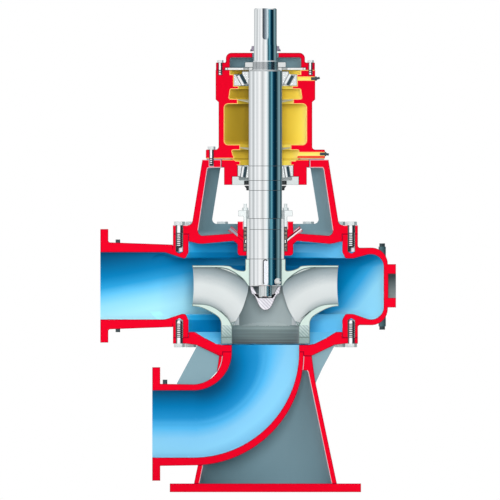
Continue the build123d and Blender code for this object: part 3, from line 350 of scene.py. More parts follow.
wet_blue = blue_with_painted_shade("wet_blue", [(0.04, 0, 84, 128), (0.115, 0, 96, 142), (0.30, 0, 128, 186),
                                   (0.46, 34, 148, 206), (0.60, 88, 188, 238), (0.74, 140, 210, 245),
                                   (0.90, 150, 222, 254), (1.0, 140, 214, 250)],
                      lean=(-0.32, -0.05, 0.46), even=0.5)
wet_castings = castings + (wet_blue,)


def elbow_wall(place, facing):
    """Blue in the bore, which runs straight from the flange and then round the bend."""
    if place.x < -SUCTION_FLANGE and facing.x < -0.9:
        return OUTSIDE
    if place.x < -BEND:
        off_line = hypot(place.y, place.z - SUCTION_Z)
    else:
        off_line = hypot(hypot(place.x + BEND, place.z - SUCTION_Z - BEND) - BEND, place.y)
    return WET if off_line < BORE + BORE_SLACK else OUTSIDE


dressed("suction_elbow", "painted_iron", wet_castings, elbow_wall)

# Suction cover: the dished plate of cast iron that is bolted up under the casing. Its upper side
# and its eye are wetted.
COVER_SPIGOT = 0.2326
DISH_FLOOR = 0.4445
DISH = 6
# Bore blue with painted shade: lighter on faces that look up and to the left, darker deeper behind the
# cut, lighter higher up and further right.
bore_blue = blue_with_painted_shade("bore_blue", [(0.15, 0, 86, 132), (0.36, 0, 122, 178), (0.60, 40, 168, 224),
                                     (0.82, 112, 206, 250)],
                       lean=(-0.24, 0.0, 0.35), slope=(0.3, -1.6, 0.9), level=0.37)


def cover_wall(place, facing):
    """Blue above the dish and in the eye."""
    reach = hypot(place.x, place.y)
    if place.z > DISH_FLOOR and facing.z > 0.05 and reach < COVER_SPIGOT:
        return DISH
    return WET if reach < BORE else OUTSIDE


dressed("suction_cover", "painted_iron", wet_castings + (bore_blue,), cover_wall)

# Volute casing: one iron casting, with the scroll that gathers the liquid round the impeller, its
# centre-line nozzle and flange, a machined boss opposite, and drilled holes for the cover bolts.
DISCHARGE_Z = 0.6236
SCROLL = 0.3585
SCROLL_FLOOR, SCROLL_ROOF = 0.5212, 0.7260
LIP_FOOT, LIP_HEAD = 0.545, 0.7
CASING_BORE, LIP_WALL = 0.2331, 0.012
CASING_LIP = CASING_BORE + LIP_WALL
NOZZLE_ROOT, NOZZLE_MOUTH = -0.2, -0.4985
BOLT_CIRCLE = 0.260
CASING_BOLTS = 12
BOLT_HOLE = 0.0104
BOSS_START, BOSS_RECESS = 0.37, 0.0368
VENT_REACH, VENT_BACK = 0.353, 0.024
VENT_TAP, VENT_RISE = 0.0125, 0.09
DRILLED, SCROLLED, THROAT, JOINT, HOLE_RIM, BOSS, TAP = range(6, 13)
# Drilled walls painted bright where they look left and near black where they look right, as highlight
# and shade.
drilled = finish("drilled_metal_shaded", [(0.18, 24, 30, 34), (0.42, 96, 104, 108), (0.56, 232, 234, 234),
                                   (0.9, 252, 252, 252)],
                 lean=(-0.45, 0.0, 0.0), drift=60.0, patchy=0.06, gloss=(0.2, 0.35), metallic=0.1,
                 grain=900.0, rise=0.00003)
# Scroll blue with painted shade: darker next to the impeller and higher up, lighter further right and
# lower, as the impeller's shadow.
scroll_blue = blue_with_painted_shade("scroll_blue", [(0.10, 0, 122, 178), (0.35, 0, 144, 202), (0.52, 60, 178, 232),
                                         (0.75, 158, 226, 252)],
                         lean=(0.0, 0.0, 0.22), slope=(4.1, 0.0, -3.0), level=1.25)
# Throat blue with painted shade: darker higher up, lighter lower down and towards the impeller.
throat_blue = blue_with_painted_shade("throat_blue", [(0.04, 0, 78, 122), (0.12, 0, 90, 136), (0.36, 0, 126, 184),
                                         (0.50, 42, 158, 214), (0.60, 100, 196, 240),
                                         (0.74, 150, 222, 250), (0.90, 176, 238, 255)],
                         slope=(0.9, 0.0, -4.5), level=3.71)
hole_line = two_tone("hole_line", (28, 30, 34), (70, 74, 80), drift=50.0)
boss_shade = finish("boss_shade", [(0.2, 54, 64, 68), (0.5, 102, 112, 114), (0.8, 150, 158, 158)],
                    lean=(0.0, 0.0, 0.3), drift=30.0, patchy=0.1, gloss=(0.5, 0.65), specular=0.1)
# A darker copy of the slate for the vent bosses, painted lighter on faces that look left: painted shade.
shaded_tap_slate = two_tone("shaded_tap_slate", (46, 74, 80), (88, 116, 122), drift=30.0, lean=(-0.3, 0.0, 0.0),
                     gloss=(0.5, 0.65), specular=0.1)


def around(circle, count):
    """Places of a bolt circle on the far half and in the section plane."""
    turns = [2 * pi * i / count for i in range(count // 2 + 1)]
    return [(circle * cos(t), circle * sin(t)) for t in turns]


def in_bolt_hole(place, facing):
    """True on the wall of a hole that is drilled for a casing bolt."""
    near = min(hypot(place.x - x, place.y - y) for x, y in around(BOLT_CIRCLE, CASING_BOLTS))
    return near < BOLT_HOLE and abs(facing.z) < 0.7


def volute_wall(place, facing):
    """Blue in the scroll, the nozzle and the joints' bores; painted highlight and shade in the bolt
    holes.
    """
    reach = hypot(place.x, place.y)
    off_nozzle = hypot(place.y, place.z - DISCHARGE_Z)
    if in_bolt_hole(place, facing):
        return DRILLED
    if place.x > BOSS_START and off_nozzle < BOSS_RECESS:
        return BOSS
    # Vent and drain bosses take the darker slate, a painted shade.
    by_vent = hypot(place.x - VENT_REACH, place.y - VENT_BACK) < VENT_TAP
    if by_vent and abs(place.z - DISCHARGE_Z) > VENT_RISE:
        return TAP
    if NOZZLE_MOUTH < place.x < NOZZLE_ROOT and off_nozzle < BORE and reach > SCROLL:
        return THROAT
    scroll = reach < SCROLL and SCROLL_FLOOR < place.z < SCROLL_ROOF
    if scroll and (LIP_FOOT < place.z < LIP_HEAD or reach > CASING_LIP):
        return SCROLLED if place.x > 0.0 else THROAT
    return JOINT if reach < CASING_LIP else OUTSIDE


volute_paints = (drilled, scroll_blue, throat_blue, bore_blue, hole_line, boss_shade, shaded_tap_slate)
dressed("volute_casing", "painted_iron", wet_castings + volute_paints, volute_wall,
        lines={DRILLED: HOLE_RIM})

# Bracket: casing cover, stuffing box and window frame in one iron casting, which stands between
# the casing and the bearings. Flush holes slope down to the packing through bosses on the box.
COVER_UNDER = 0.7655
COVER_TOP = 0.7833
COVER_FALL, COVER_RUN = 9, 122
BOX_OUTER, BOX_BORE = 0.084, 0.0662
BOX_SIDE, OFF_BOX = 0.083, 0.0002
FLUSH_START = Vector((0.070, 0.0, 0.766))
FLUSH_WAY = Vector((0.039, 0.0, 0.031)).normalized()
FLUSH_RADIUS = 0.00375
FLUSH_REACH, FLUSH_TOP, FLUSH_BACK = 0.035, 0.806, 0.012
WINDOW_FLOOR, WINDOW_ROOF = 0.80, 1.03
UNDER, HOLE, HOLE_EDGE, FLUSH_END, FLUSH_WALL = range(5, 10)
flush_boss = finish("flush_boss", [(0.25, 140, 146, 158), (0.75, 228, 220, 226)], slope=(2.5, 0.0, 0.0),
                    drift=40.0, patchy=0.1, specular=0.1)
# The flush hole's wall is painted dark on its upper side and near white below, as shade and highlight.
flush_bore = finish("flush_bore", [(0.1, 44, 12, 22), (0.32, 92, 34, 48), (0.44, 250, 226, 232),
                                   (1.0, 255, 242, 246)],
                    lean=(-0.35, 0.0, 0.45), drift=40.0, patchy=0.05, specular=0.1)
flush_cuts = [((side * (BOX_OUTER + OFF_BOX), 0, 0), (1, 0, 0)) for side in (-1, 1)]
flush_cuts += [((side * BOX_OUTER, 0, COVER_TOP), (side * COVER_FALL, 0, COVER_RUN)) for side in (-1, 1)]


def outward(place, facing):
    """Over zero where a face looks away from the shaft."""
    return facing.x * place.x + facing.y * place.y


def in_boss(place):
    """True in a flush boss where it stands clear of the stuffing box and the cover."""
    out = abs(place.x) - BOX_OUTER
    over_cover = COVER_TOP - out * COVER_FALL / COVER_RUN < place.z < FLUSH_TOP
    return 0.0 < out < FLUSH_REACH and over_cover and place.y < FLUSH_BACK


def bracket_cut(place):
    """The flush bosses aren't cut in the picture, so their ends stay pale."""
    return FLUSH_END if in_boss(place) else CUT


def bracket_wall(place, facing):
    """Blue under the cover plate; painted highlight and shade in the bolt and flush holes."""
    reach = hypot(place.x, place.y)
    from_start = Vector((abs(place.x), place.y, place.z)) - FLUSH_START
    if (from_start - from_start.dot(FLUSH_WAY) * FLUSH_WAY).length < FLUSH_RADIUS * 1.02:
        return FLUSH_WALL
    if in_boss(place):
        return FLUSH_END
    if place.z < COVER_UNDER and facing.z < 0.2 and BOX_SIDE < reach < COVER_SPIGOT:
        return UNDER
    if in_bolt_hole(place, facing):
        return HOLE
    window = WINDOW_FLOOR < place.z < WINDOW_ROOF and outward(place, facing) < 0.001
    return INSIDE if window else OUTSIDE


dressed("bracket", "painted_iron", castings + (bore_blue, drilled, hole_line, flush_boss, flush_bore),
        bracket_wall, lines={HOLE: HOLE_EDGE, INSIDE: HIGHLIGHT_RIM}, cuts=flush_cuts, cut_paint=bracket_cut)

# Flush filler: the left flush hole is closed by a driven pin of the same iron, cut off flush with
# the boss and the bore of the box, and sectioned with the bracket.
PIN_MIDDLE, PIN_HALF = 0.0193, 0.0294
skin = bmesh.new()
left_start = Vector((-FLUSH_START.x, 0, FLUSH_START.z))
left_way = Vector((-FLUSH_WAY.x, 0, FLUSH_WAY.z))
middle = Matrix.Translation(left_start + left_way * PIN_MIDDLE)
lying = left_way.to_track_quat("Z", "Y").to_matrix().to_4x4()
bmesh.ops.create_cone(skin, cap_ends=True, segments=32, radius1=FLUSH_RADIUS, radius2=FLUSH_RADIUS,
                      depth=2 * PIN_HALF, matrix=middle @ lying)
for point, direction in (((0, 0, 0), (0, 1, 0)), ((-BOX_BORE, 0, 0), (-1, 0, 0))):
    halved = bmesh.ops.bisect_plane(skin, geom=skin.verts[:] + skin.edges[:] + skin.faces[:], dist=TOUCH,
                                    plane_co=point, plane_no=direction, clear_inner=True)
    rim = [part for part in halved["geom_cut"] if isinstance(part, bmesh.types.BMEdge)]
    bmesh.ops.edgeloop_fill(skin, edges=rim)
parted(skin, flush_cuts[:1])
for face in skin.faces:
    face.material_index = 1 if face.calc_center_median().x < -BOX_OUTER else 0
settle(skin, "flush_pin", (section_red, flush_boss), "pump_frame", "painted_iron")

# Stuffing box: five rings of graphited braid with a brass lantern ring among them, squeezed by a
# split gland on two studs.
packing_braid = finish("packing_braid", [(0.2, 62, 50, 46), (0.5, 130, 112, 100), (0.8, 186, 172, 158)],
                       drift=260.0, patchy=1.2, grain=700.0, rise=0.0006, gloss=(0.6, 0.85))
lantern_brass = two_tone("lantern_brass", (236, 234, 226), (252, 251, 246), drift=80.0,
                         gloss=(0.25, 0.4), metallic=0.2)
# Near-white iron for the gland, a painted highlight, leaning lighter on faces that look up, as painted
# shade.
pale_gland = finish("pale_gland", [(0.0, 196, 204, 204), (0.5, 226, 232, 232), (1.0, 242, 246, 246)],
                    lean=(-0.1, -0.1, 0.3), drift=30.0, gloss=(0.35, 0.5), metallic=0.1, rise=0.0001)
fine_edge = two_tone("fine_edge", (132, 142, 144), (170, 180, 180), drift=50.0)


def lined(name, slot, paint, line, body="pump_frame", width=CUT_LINE):
    """A sectioned piece in one finish all over, with a line round its cut face."""
    dressed(name, slot, (paint, line), everywhere(CUT), body, width=width)


lined("packing_rings", "packing", packing_braid, hole_line)
lined("lantern_ring", "brass_ring", lantern_brass, hole_line)
lined("packing_gland", "cast_gland", pale_gland, fine_edge, width=0.001)
lined("gland_studs", "bolt_steel", pale_gland, fine_edge, width=0.001)

# Impeller: a closed wheel with two shrouds and long curved vanes, cast in pale iron and ground,
# with a steel wear ring round its eye and a nose cone under its hub. It turns with the shaft.
VANE_FACE = 0.002
EYE_REACH, NECK_TOP = 0.1015, 0.505
EYE_ROOM, EYE_ROOF, EYE_BACK, EYE_FLAT = 0.118, 0.622, 0.06, 0.53
HUB_REACH, BACK_FACE = 0.05, 0.645
CONE_FLOOR = 0.5875
PASSAGE, EYE, NECK, RING, BACK = range(2, 7)
impeller_cut = two_tone("impeller_cut", (196, 216, 208), (214, 230, 222), drift=40.0,
                        gloss=(0.45, 0.6), specular=0.1)
impeller_edge = two_tone("impeller_edge", (92, 112, 110), (124, 144, 140), drift=40.0,
                         gloss=(0.45, 0.6), specular=0.1)
# Pale passage iron with painted shade: darkest on faces that look down under the upper shroud, a little
# darker on faces that look up.
impeller_cast_shaded = finish("impeller_cast_shaded", [(0.05, 128, 142, 146), (0.28, 164, 176, 180),
                                         (0.50, 214, 219, 219), (0.70, 212, 217, 217),
                                         (0.95, 166, 180, 182)],
                       lean=(0.0, 0.0, 0.5), drift=7.0, patchy=0.10, gloss=(0.4, 0.55), rise=0.00015,
                       specular=0.1)
# The eye's far wall, painted darker than the passages as shade, lighter on faces that look up and left.
impeller_eye_shade = finish("impeller_eye_shade", [(0.2, 108, 122, 123), (0.5, 156, 169, 171), (0.8, 182, 194, 194)],
                      lean=(-0.30, 0.0, 0.25), drift=7.0, patchy=0.12, gloss=(0.4, 0.55), rise=0.00015,
                      specular=0.1)
# Turned bore of the neck in fine turned bands, painted darker downward into the neck as shade.
neck_bore = finish("neck_bore", [(0.1, 82, 88, 90), (0.4, 118, 134, 134), (0.8, 160, 176, 175)],
                   slope=(0.0, 0.0, 9.0), level=-3.95, drift=1.5, patchy=0.7, stretch=(1.0, 1.0, 80.0),
                   gloss=(0.3, 0.45), specular=0.2)
hatched_ring = finish("hatched_ring", [(0.25, 140, 162, 160), (0.75, 204, 220, 218)],
                      slope=(0.0, 0.0, 9.0), level=-4.1, drift=60.0, patchy=0.5, hatch=0.25,
                      gloss=(0.4, 0.5), specular=0.1)
# The impeller's back under the cover, painted dark blue as shade, lighter further back and higher up.
back_shade_blue = blue_with_painted_shade("back_shade_blue", [(0.2, 0, 76, 120), (0.5, 0, 96, 146), (0.8, 20, 132, 190)],
                       slope=(0.0, 2.0, 2.5), level=-1.35, drift=5.0, grain=350.0)
nose_steel = two_tone("nose_steel", (196, 194, 204), (236, 234, 240), level=0.3, drift=50.0, patchy=0.5,
                      hatch=0.35, gloss=(0.3, 0.4), specular=0.2)
nose_line = two_tone("nose_line", (70, 74, 78), (110, 114, 118), drift=50.0)
# Painted shade in the nose cone's hollow: darker to the left and higher up.
cone_inside_shade = finish("cone_inside_shade", [(0.2, 60, 68, 72), (0.5, 120, 130, 134), (0.8, 190, 198, 200)],
                     slope=(9.0, 0.0, -9.0), level=6.0, drift=12.0, patchy=0.1, gloss=(0.3, 0.45))


def impeller_wall(place, facing):
    """The eye behind the vanes is painted darker than the passages, as shade; the neck is turned smooth
    and painted darker downward, and the back under the cover is painted dark blue, both as shade.
    """
    reach = hypot(place.x, place.y)
    if place.z > BACK_FACE and facing.z > 0.2 and reach > HUB_REACH:
        return BACK
    if reach < EYE_REACH and place.z < NECK_TOP:
        return NECK
    behind = place.y > EYE_BACK or (in_section(place, facing, VANE_FACE) and place.z < EYE_FLAT)
    return EYE if reach < EYE_ROOM and place.z < EYE_ROOF and behind else PASSAGE


def cone_wall(place, facing):
    """Painted dark in the hollow of the nose cone, as shade."""
    return INSIDE if place.z > CONE_FLOOR and outward(place, facing) < 0.0 else CUT


skin = merged("impeller")
parted(skin, [((0, 0, NECK_TOP), (0, 0, 1))])
for face in skin.faces:
    place = face.calc_center_median()
    if in_section(place, face.normal):
        face.material_index = RING if place.z < NECK_TOP else CUT
    else:
        face.material_index = impeller_wall(place, face.normal)
edged(skin)
edged(skin, depth=VANE_FACE)
wheel = (impeller_cut, impeller_edge, impeller_cast_shaded, impeller_eye_shade, neck_bore, hatched_ring, back_shade_blue)
settle(skin, "impeller_wheel", wheel, "rotor", "impeller_iron", "impeller")
dressed("nose_cone", "impeller_iron", (nose_steel, nose_line, cone_inside_shade), cone_wall, "rotor")
dressed("wear_ring", "sleeve_steel", (hatched_ring, impeller_edge, neck_bore), everywhere(INSIDE),
        "rotor")

# Shaft: polished steel, stepped at the lower end, the locknut thread and the drive end, with
# scribed lines where the sleeve, seals and bearings sit. Its sleeve, nut, collar, pin, screw and
# key turn with it.
SCRIBED = (0.7048, 0.794, 0.827, 0.912, 0.942, 0.986)
SCRIBE_HALF = 0.0007
SCRIBE_DEPTH = 0.0006
THREAD_FOOT, THREAD_REACH = 1.272, 0.0497
THREAD_START, THREAD_END, THREAD_LINE = 1.2785, 1.3015, 0.003
THREAD_LINES = 16
KEYWAY_START, KEYWAY_Y = 1.3, -0.0272
KEY_RIM = 0.0036
KEY_LEFT, KEY_HEAD = -0.003, 0.699
POLISH, SCRIBE, KEYWAY, RIDGE, ROOT = range(5)
polished = two_tone("polished_steel", (244, 246, 247), (252, 253, 254), drift=5.0, gloss=(0.04, 0.08),
                    metallic=1.0, grain=60.0, rise=0.00001, stretch=(1.0, 1.0, 30.0))
scribed_line = two_tone("scribed_line", (54, 62, 66), (92, 100, 104), drift=30.0, gloss=(0.4, 0.5),
                        metallic=0.3)
# The keyway floor is painted dark on its left and pale on its right, as the shadow of the keyway's wall.
keyway_floor_shadow = finish("keyway_floor_shadow", [(0.1, 46, 54, 62), (0.35, 107, 118, 128), (0.55, 152, 166, 174),
                                       (0.85, 214, 232, 238)],
                      slope=(45.0, 0.0, 0.0), level=0.42, patchy=0.05, gloss=(0.3, 0.4), specular=0.2)
thread_grey = two_tone("thread_grey", (208, 211, 213), (224, 227, 228), drift=40.0, gloss=(0.12, 0.2),
                       metallic=1.0)
# Darker bands between the thread's ridges, painted shade for its roots.
thread_root_shade = two_tone("thread_root_shade", (140, 144, 148), (164, 168, 171), drift=40.0, gloss=(0.2, 0.3),
                       metallic=1.0)
dark_edge = two_tone("dark_edge", (52, 60, 62), (92, 100, 102), drift=50.0)
bolt_steel = two_tone("bolt_steel", (214, 218, 218), (240, 242, 242), drift=70.0, gloss=(0.12, 0.2),
                      metallic=1.0, grain=1200.0, rise=0.00002)
key_face = two_tone("key_face", (226, 230, 238), (244, 246, 250), drift=40.0, gloss=(0.25, 0.35),
                    metallic=0.3)


def shaft_wall(place, facing):
    """Polished but for the scribed lines, the keyway's floor with its painted shadow, and the fine bands
    of the thread, whose darker roots are painted shade.
    """
    if any(abs(place.z - height) < SCRIBE_HALF for height in SCRIBED):
        return SCRIBE
    if place.z > KEYWAY_START and abs(place.y - KEYWAY_Y) < 0.0005 and facing.y < -0.9:
        return KEYWAY
    if THREAD_FOOT < place.z < THREAD_END and hypot(place.x, place.y) < THREAD_REACH:
        step = (place.z - THREAD_START) / THREAD_LINE
        return ROOT if place.z > THREAD_START and step % 1 > 0.5 else RIDGE
    return POLISH


skin = merged("shaft")
for height in SCRIBED:
    levels = (height - SCRIBE_HALF, height, height + SCRIBE_HALF)
    parted(skin, [((0, 0, level), (0, 0, 1)) for level in levels])
    for vert in skin.verts:
        if abs(vert.co.z - height) < 0.0001:
            reach = hypot(vert.co.x, vert.co.y)
            vert.co.x *= 1 - SCRIBE_DEPTH / reach
            vert.co.y *= 1 - SCRIBE_DEPTH / reach
for ridge in range(THREAD_LINES):
    parted(skin, [((0, 0, THREAD_START + ridge * THREAD_LINE / 2), (0, 0, 1))])
for face in skin.faces:
    face.material_index = shaft_wall(face.calc_center_median(), face.normal)
settle(skin, "shaft_polished", (polished, scribed_line, keyway_floor_shadow, thread_grey, thread_root_shade), "rotor",
       "shaft_steel", "shaft")
for name, slot, line in (("shaft_sleeve", "sleeve_steel", fine_edge),
                         ("impeller_pin", "bearing_steel", dark_edge),
                         ("impeller_screw", "shaft_steel", dark_edge),
                         ("spacer_collar", "shaft_steel", dark_edge),
                         ("bearing_locknut", "shaft_steel", dark_edge)):
    lined(name, slot, bolt_steel, line, "rotor", width=0.0009)
# The key's front face gets a dark rim on its left and top only, a painted shadow along those edges.
skin = merged("impeller_key")
front = [face for face in skin.faces if face.normal.y < -0.99]
rim = bmesh.ops.inset_region(skin, faces=front, thickness=KEY_RIM, use_even_offset=True)
for face in rim["faces"]:
    place = face.calc_center_median()
    face.material_index = EDGE if place.x < KEY_LEFT or place.z > KEY_HEAD else CUT
settle(skin, "impeller_key_fitted", (key_face, hole_line), "rotor", "shaft_steel", "impeller_key")

# Bearings: two taper roller bearings of ground steel, each with an outer ring pressed into its
# seat, an inner ring on the shaft, and chamfered rollers between them.
bearing_steel = two_tone("bearing_steel", (222, 228, 228), (242, 245, 245), drift=60.0,
                         gloss=(0.15, 0.25), metallic=0.9, rise=0.00002)
# Rollers painted bright on the left and dark teal from the middle to the right, as painted reflections
# of the room and its curtain.
roller_painted_reflection = finish("roller_painted_reflection", [(0.06, 120, 136, 142), (0.16, 252, 253, 253),
                                       (0.40, 232, 238, 240), (0.48, 110, 128, 136),
                                       (0.56, 38, 58, 68), (0.95, 62, 84, 92)],
                      lean=(0.48, 0.0, 0.0), drift=40.0, patchy=0.05, gloss=(0.1, 0.2), metallic=0.2)
for name, body in (("upper_outer_ring", "pump_frame"), ("lower_outer_ring", "pump_frame"),
                   ("upper_inner_ring", "rotor"), ("lower_inner_ring", "rotor")):
    lined(name, "bearing_steel", bearing_steel, dark_edge, body, width=0.0012)
for name, body in (("upper_rollers", "upper_roller_set"), ("lower_rollers", "lower_roller_set")):
    lined(name, "bearing_steel", roller_painted_reflection, dark_edge, body)

# Bearing housing, cartridge and cap: cast iron round the bearings, bolted up in a stack, and gold
# inside where they hold oil or grease.
FOOT_TOP = 1.0355
HOUSING_BORE = 0.1245
PORT_START, PORT_HALF = 0.09, 0.005
UPPER_PORT, LOWER_PORT = 1.25, 1.022
CARTRIDGE_BORE, GREASE_FLOOR = 0.096, 0.987
OIL, OIL_HIGHLIGHT = 5, 6
# Gold for oil with painted shade: darker deeper behind the cut and to the left, lighter on faces that
# look up and to the left.
oil_gold = finish("oil_gold", [(0.08, 132, 110, 22), (0.30, 190, 160, 48), (0.50, 226, 194, 64),
                               (0.75, 250, 222, 90), (1.0, 255, 228, 124)],
                  lean=(-0.12, 0.0, 0.15), slope=(1.4, -4.0, 0.0), level=0.74, drift=8.0, patchy=0.1,
                  gloss=(0.35, 0.5), specular=0.15, even=3.0)
# A peach line along cut edges beside the oil: a painted highlight.
peach_highlight = two_tone("peach_highlight", (248, 186, 96), (255, 216, 132), drift=40.0, gloss=(0.5, 0.6),
                      specular=0.03)
gold_castings = castings + (oil_gold, peach_highlight)


def housing_wall(place, facing):
    """Gold in the chambers and ports."""
    on_foot = abs(place.z - FOOT_TOP) < 0.001
    if hypot(place.x, place.y) < HOUSING_BORE and outward(place, facing) <= 0.0005 and not on_foot:
        return OIL
    off_port = min(abs(place.z - UPPER_PORT), abs(place.z - LOWER_PORT))
    port = place.x > PORT_START and abs(place.y) < PORT_HALF and off_port < PORT_HALF
    return OIL if port else OUTSIDE


def cartridge_wall(place, facing):
    """Gold above the bearing only."""
    return OIL if hypot(place.x, place.y) < CARTRIDGE_BORE and place.z > GREASE_FLOOR else OUTSIDE


dressed("bearing_housing", "painted_iron", gold_castings, housing_wall, lines={OIL: OIL_HIGHLIGHT})
dressed("bearing_cartridge", "painted_iron", gold_castings, cartridge_wall, lines={OIL: OIL_HIGHLIGHT})
dressed("bearing_cap", "painted_iron", castings, everywhere(INSIDE), width=0.0026)

# Seals: rubber V-rings and a lip seal that rub on the shaft, an O-ring and a shim in the joint
# under the housing, and the turned plates and ring that keep the grease by the bearings.
# Machined iron, painted lighter on faces that look up, left and forward, as shade.
machined_iron = finish("machined_iron", [(0.0, 150, 160, 162), (0.5, 206, 214, 214),
                                         (1.0, 232, 236, 236)],
                       lean=(-0.1, -0.1, 0.3), drift=30.0, gloss=(0.35, 0.5), metallic=0.2, rise=0.0001)
seal_rubber = two_tone("seal_rubber", (18, 20, 22), (40, 44, 46), drift=40.0, gloss=(0.55, 0.7),
                       specular=0.3)
pale_seal = two_tone("pale_seal", (214, 216, 214), (240, 240, 238), drift=40.0, gloss=(0.4, 0.55),
                     specular=0.3)
mauve_rubber = two_tone("mauve_rubber", (124, 114, 132), (156, 146, 164), drift=40.0, gloss=(0.5, 0.65),
                        specular=0.2)
for name, slot, paint, body in (("housing_shim", "shaft_steel", mauve_rubber, "pump_frame"),
                                ("cap_seal_ring", "seal_rubber", pale_seal, "pump_frame"),
                                ("bearing_shield", "shaft_steel", pale_seal, "pump_frame"),
                                ("seal_plate", "cast_gland", machined_iron, "pump_frame"),
                                ("lip_seal", "seal_rubber", seal_rubber, "pump_frame"),
                                ("top_v_ring", "seal_rubber", mauve_rubber, "rotor"),
                                ("lower_v_ring", "seal_rubber", seal_rubber, "rotor")):
    lined(name, slot, paint, dark_edge, body, width=0.0006)
dressed("housing_o_ring", "seal_rubber", (seal_rubber, seal_rubber, oil_gold), everywhere(INSIDE),
        width=0.0003)

# Lip rings: two thin split rings of pale felt in the bores between the oil chambers, dished a
# little towards the shaft, with dark undersides.
LIP_INNER, LIP_THICK, LIP_DISH = 0.0525, 0.0022, 0.22
LIP_STEPS = 48
lip_felt = two_tone("lip_felt", (150, 148, 126), (196, 194, 172), drift=40.0, gloss=(0.6, 0.75),
                    specular=0.1)
for name, outer, top in (("upper_lip_ring", 0.0838, 1.1872), ("lower_lip_ring", 0.0763, 1.0425)):
    skin = bmesh.new()
    inner_top = top - (outer - LIP_INNER) * LIP_DISH
    line = [(outer, top), (LIP_INNER, inner_top), (LIP_INNER, inner_top - LIP_THICK),
            (outer, top - LIP_THICK)]
    section = skin.faces.new([skin.verts.new((reach, 0, height)) for reach, height in line])
    bmesh.ops.spin(skin, geom=[section], cent=(0, 0, 0), axis=(0, 0, 1), angle=pi, steps=LIP_STEPS,
                   use_duplicate=True)
    bmesh.ops.remove_doubles(skin, verts=skin.verts, dist=JOIN)
    bmesh.ops.recalc_face_normals(skin, faces=skin.faces)
    for face in skin.faces:
        face.material_index = EDGE if face.normal.z < -0.5 else CUT
    edged(skin, width=0.0006)
    settle(skin, name, (lip_felt, seal_rubber), "pump_frame", "seal_rubber")

# Bolts: hexagon bolts of bright steel, whole where they stand in the section plane, with chamfered
# heads, a plain shank and a rolled thread. They hold the covers, the housing and its cap.
SHANK, GROOVE, HEAD = range(3)
TURNS = 24
PITCH = 0.0056
GROOVE_START, GROOVE_END, CREST_START = 0.15, 0.4, 0.55
ROOT_SHARE, CREST_SHARE, TIP_SHARE = 0.84, 0.985, 0.7
LAST_THREAD = 1.4
CROWN_SHARE = 0.12
# Shank steel painted in bands by facing: dark at the left edge, white from there to the middle, dark
# teal on the right, as painted reflection and shade.
bolt_shank_painted_reflection = finish("bolt_shank_painted_reflection", [(0.03, 26, 32, 36), (0.11, 130, 138, 140), (0.19, 253, 253, 253),
                                   (0.56, 250, 251, 251), (0.68, 74, 86, 92), (0.90, 22, 30, 36)],
                    lean=(0.5, 0.0, 0.0), drift=60.0, patchy=0.04, gloss=(0.15, 0.25), metallic=0.2)
bolt_thread_shade = two_tone("bolt_thread_shade", (22, 26, 30), (58, 64, 68), drift=60.0, gloss=(0.4, 0.5),
                       metallic=0.2, specular=0.2)
# Head steel painted lighter on faces that look up and to the left, as shade.
bolt_head = finish("bolt_head", [(0.2, 170, 180, 182), (0.5, 214, 222, 222), (0.8, 244, 247, 247)],
                   lean=(-0.25, 0.0, 0.2), drift=60.0, gloss=(0.25, 0.35), metallic=0.3)


def bolt_body(skin, x, y, seat, way, shank, length, plain):
    """A shank and its thread, turned about the bolt's axis; way is 1 where the head is on top."""
    line = [(shank, 0.0), (shank, -plain)]
    depth = plain
    while depth < length - LAST_THREAD * PITCH:
        line += [(shank * ROOT_SHARE, -depth - PITCH * GROOVE_START),
                 (shank * ROOT_SHARE, -depth - PITCH * GROOVE_END),
                 (shank * CREST_SHARE, -depth - PITCH * CREST_START),
                 (shank * CREST_SHARE, -depth - PITCH)]
        depth += PITCH
    line += [(shank * TIP_SHARE, -length), (0.0, -length)]
    corners = [skin.verts.new((x + reach, y, seat + way * rise)) for reach, rise in line]
    edges = [skin.edges.new(pair) for pair in zip(corners, corners[1:])]
    bmesh.ops.spin(skin, geom=corners + edges, cent=(x, y, 0), axis=(0, 0, 1), angle=2 * pi,
                   steps=TURNS, use_merge=True)


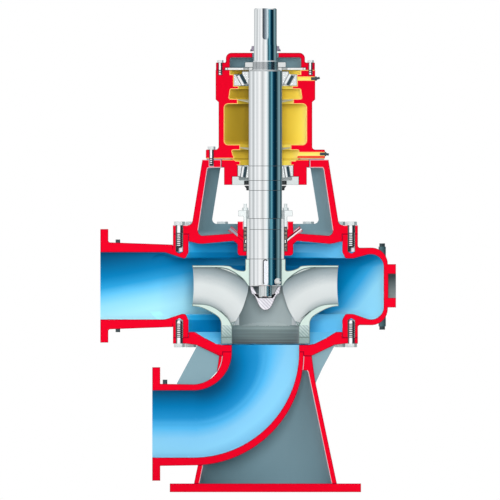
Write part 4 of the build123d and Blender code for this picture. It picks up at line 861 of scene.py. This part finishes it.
def hexagon(skin, x, y, seat, way, head, height):
    """A hexagon head on its seat, with the corners of its crown turned off."""
    middle = Matrix.Translation((x, y, seat + way * height / 2)) @ Matrix.Rotation(radians(30), 4, "Z")
    block = bmesh.ops.create_cone(skin, cap_ends=True, segments=6, radius1=head / cos(pi / 6),
                                  radius2=head / cos(pi / 6), depth=height, matrix=middle)
    crown = [edge for vert in block["verts"] for edge in vert.link_edges
             if all(way * (end.co.z - seat) > height * 0.9 for end in edge.verts)]
    bmesh.ops.bevel(skin, geom=list(set(crown)), affect="EDGES", offset=head * CROWN_SHARE, segments=2,
                    profile=0.5, material=-1)


def bolt_ring(name, places, seat, way, shank, length, plain, head, height):
    """Like bolts of one joint, with roots painted dark as shade between the bright crests of their
    threads.
    """
    skin = bmesh.new()
    for x, y in places:
        bolt_body(skin, x, y, seat, way, shank, length, plain)
        hexagon(skin, x, y, seat, way, head, height)
    bmesh.ops.recalc_face_normals(skin, faces=skin.faces)
    for face in skin.faces:
        depth = way * (seat - face.calc_center_median().z)
        in_groove = (depth - plain) / PITCH % 1 < CREST_START
        threaded = plain < depth < length - PITCH * GROOVE_END
        if depth < 0:
            face.material_index = HEAD
        else:
            face.material_index = GROOVE if threaded and in_groove else SHANK
    paints = (bolt_shank_painted_reflection, bolt_thread_shade, bolt_head)
    settle(skin, name + "_bright", paints, "pump_frame", "bolt_steel", name)


bolt_ring("casing_top_bolts", around(BOLT_CIRCLE, CASING_BOLTS), seat=0.807, way=1, shank=0.0094,
          length=0.068, plain=0.023, head=0.0146, height=0.011)
bolt_ring("casing_bottom_bolts", around(BOLT_CIRCLE, CASING_BOLTS), seat=0.449, way=-1, shank=0.0094,
          length=0.070, plain=0.018, head=0.0146, height=0.011)
bolt_ring("housing_bolts", around(0.163, 8)[1:], seat=FOOT_TOP, way=1, shank=0.0059,
          length=0.0485, plain=0.026, head=0.0104, height=0.0094)
bolt_ring("cap_bolts", around(0.1365, 8), seat=1.2985, way=1, shank=0.0051,
          length=0.0365, plain=0.022, head=0.0085, height=0.0074)

# Fittings: grease nipples screwed into the housing, and square or hexagon plugs in the casing's
# and the elbow's tapped holes, all of oiled steel.
oiled_steel = two_tone("oiled_steel", (44, 58, 62), (84, 100, 104), drift=60.0, gloss=(0.3, 0.45),
                       metallic=0.6)
for name in ("upper_grease_fitting", "lower_grease_fitting", "nozzle_plugs", "vent_drain_plugs",
             "suction_plug"):
    lined(name, "fitting_steel", oiled_steel, dark_edge)
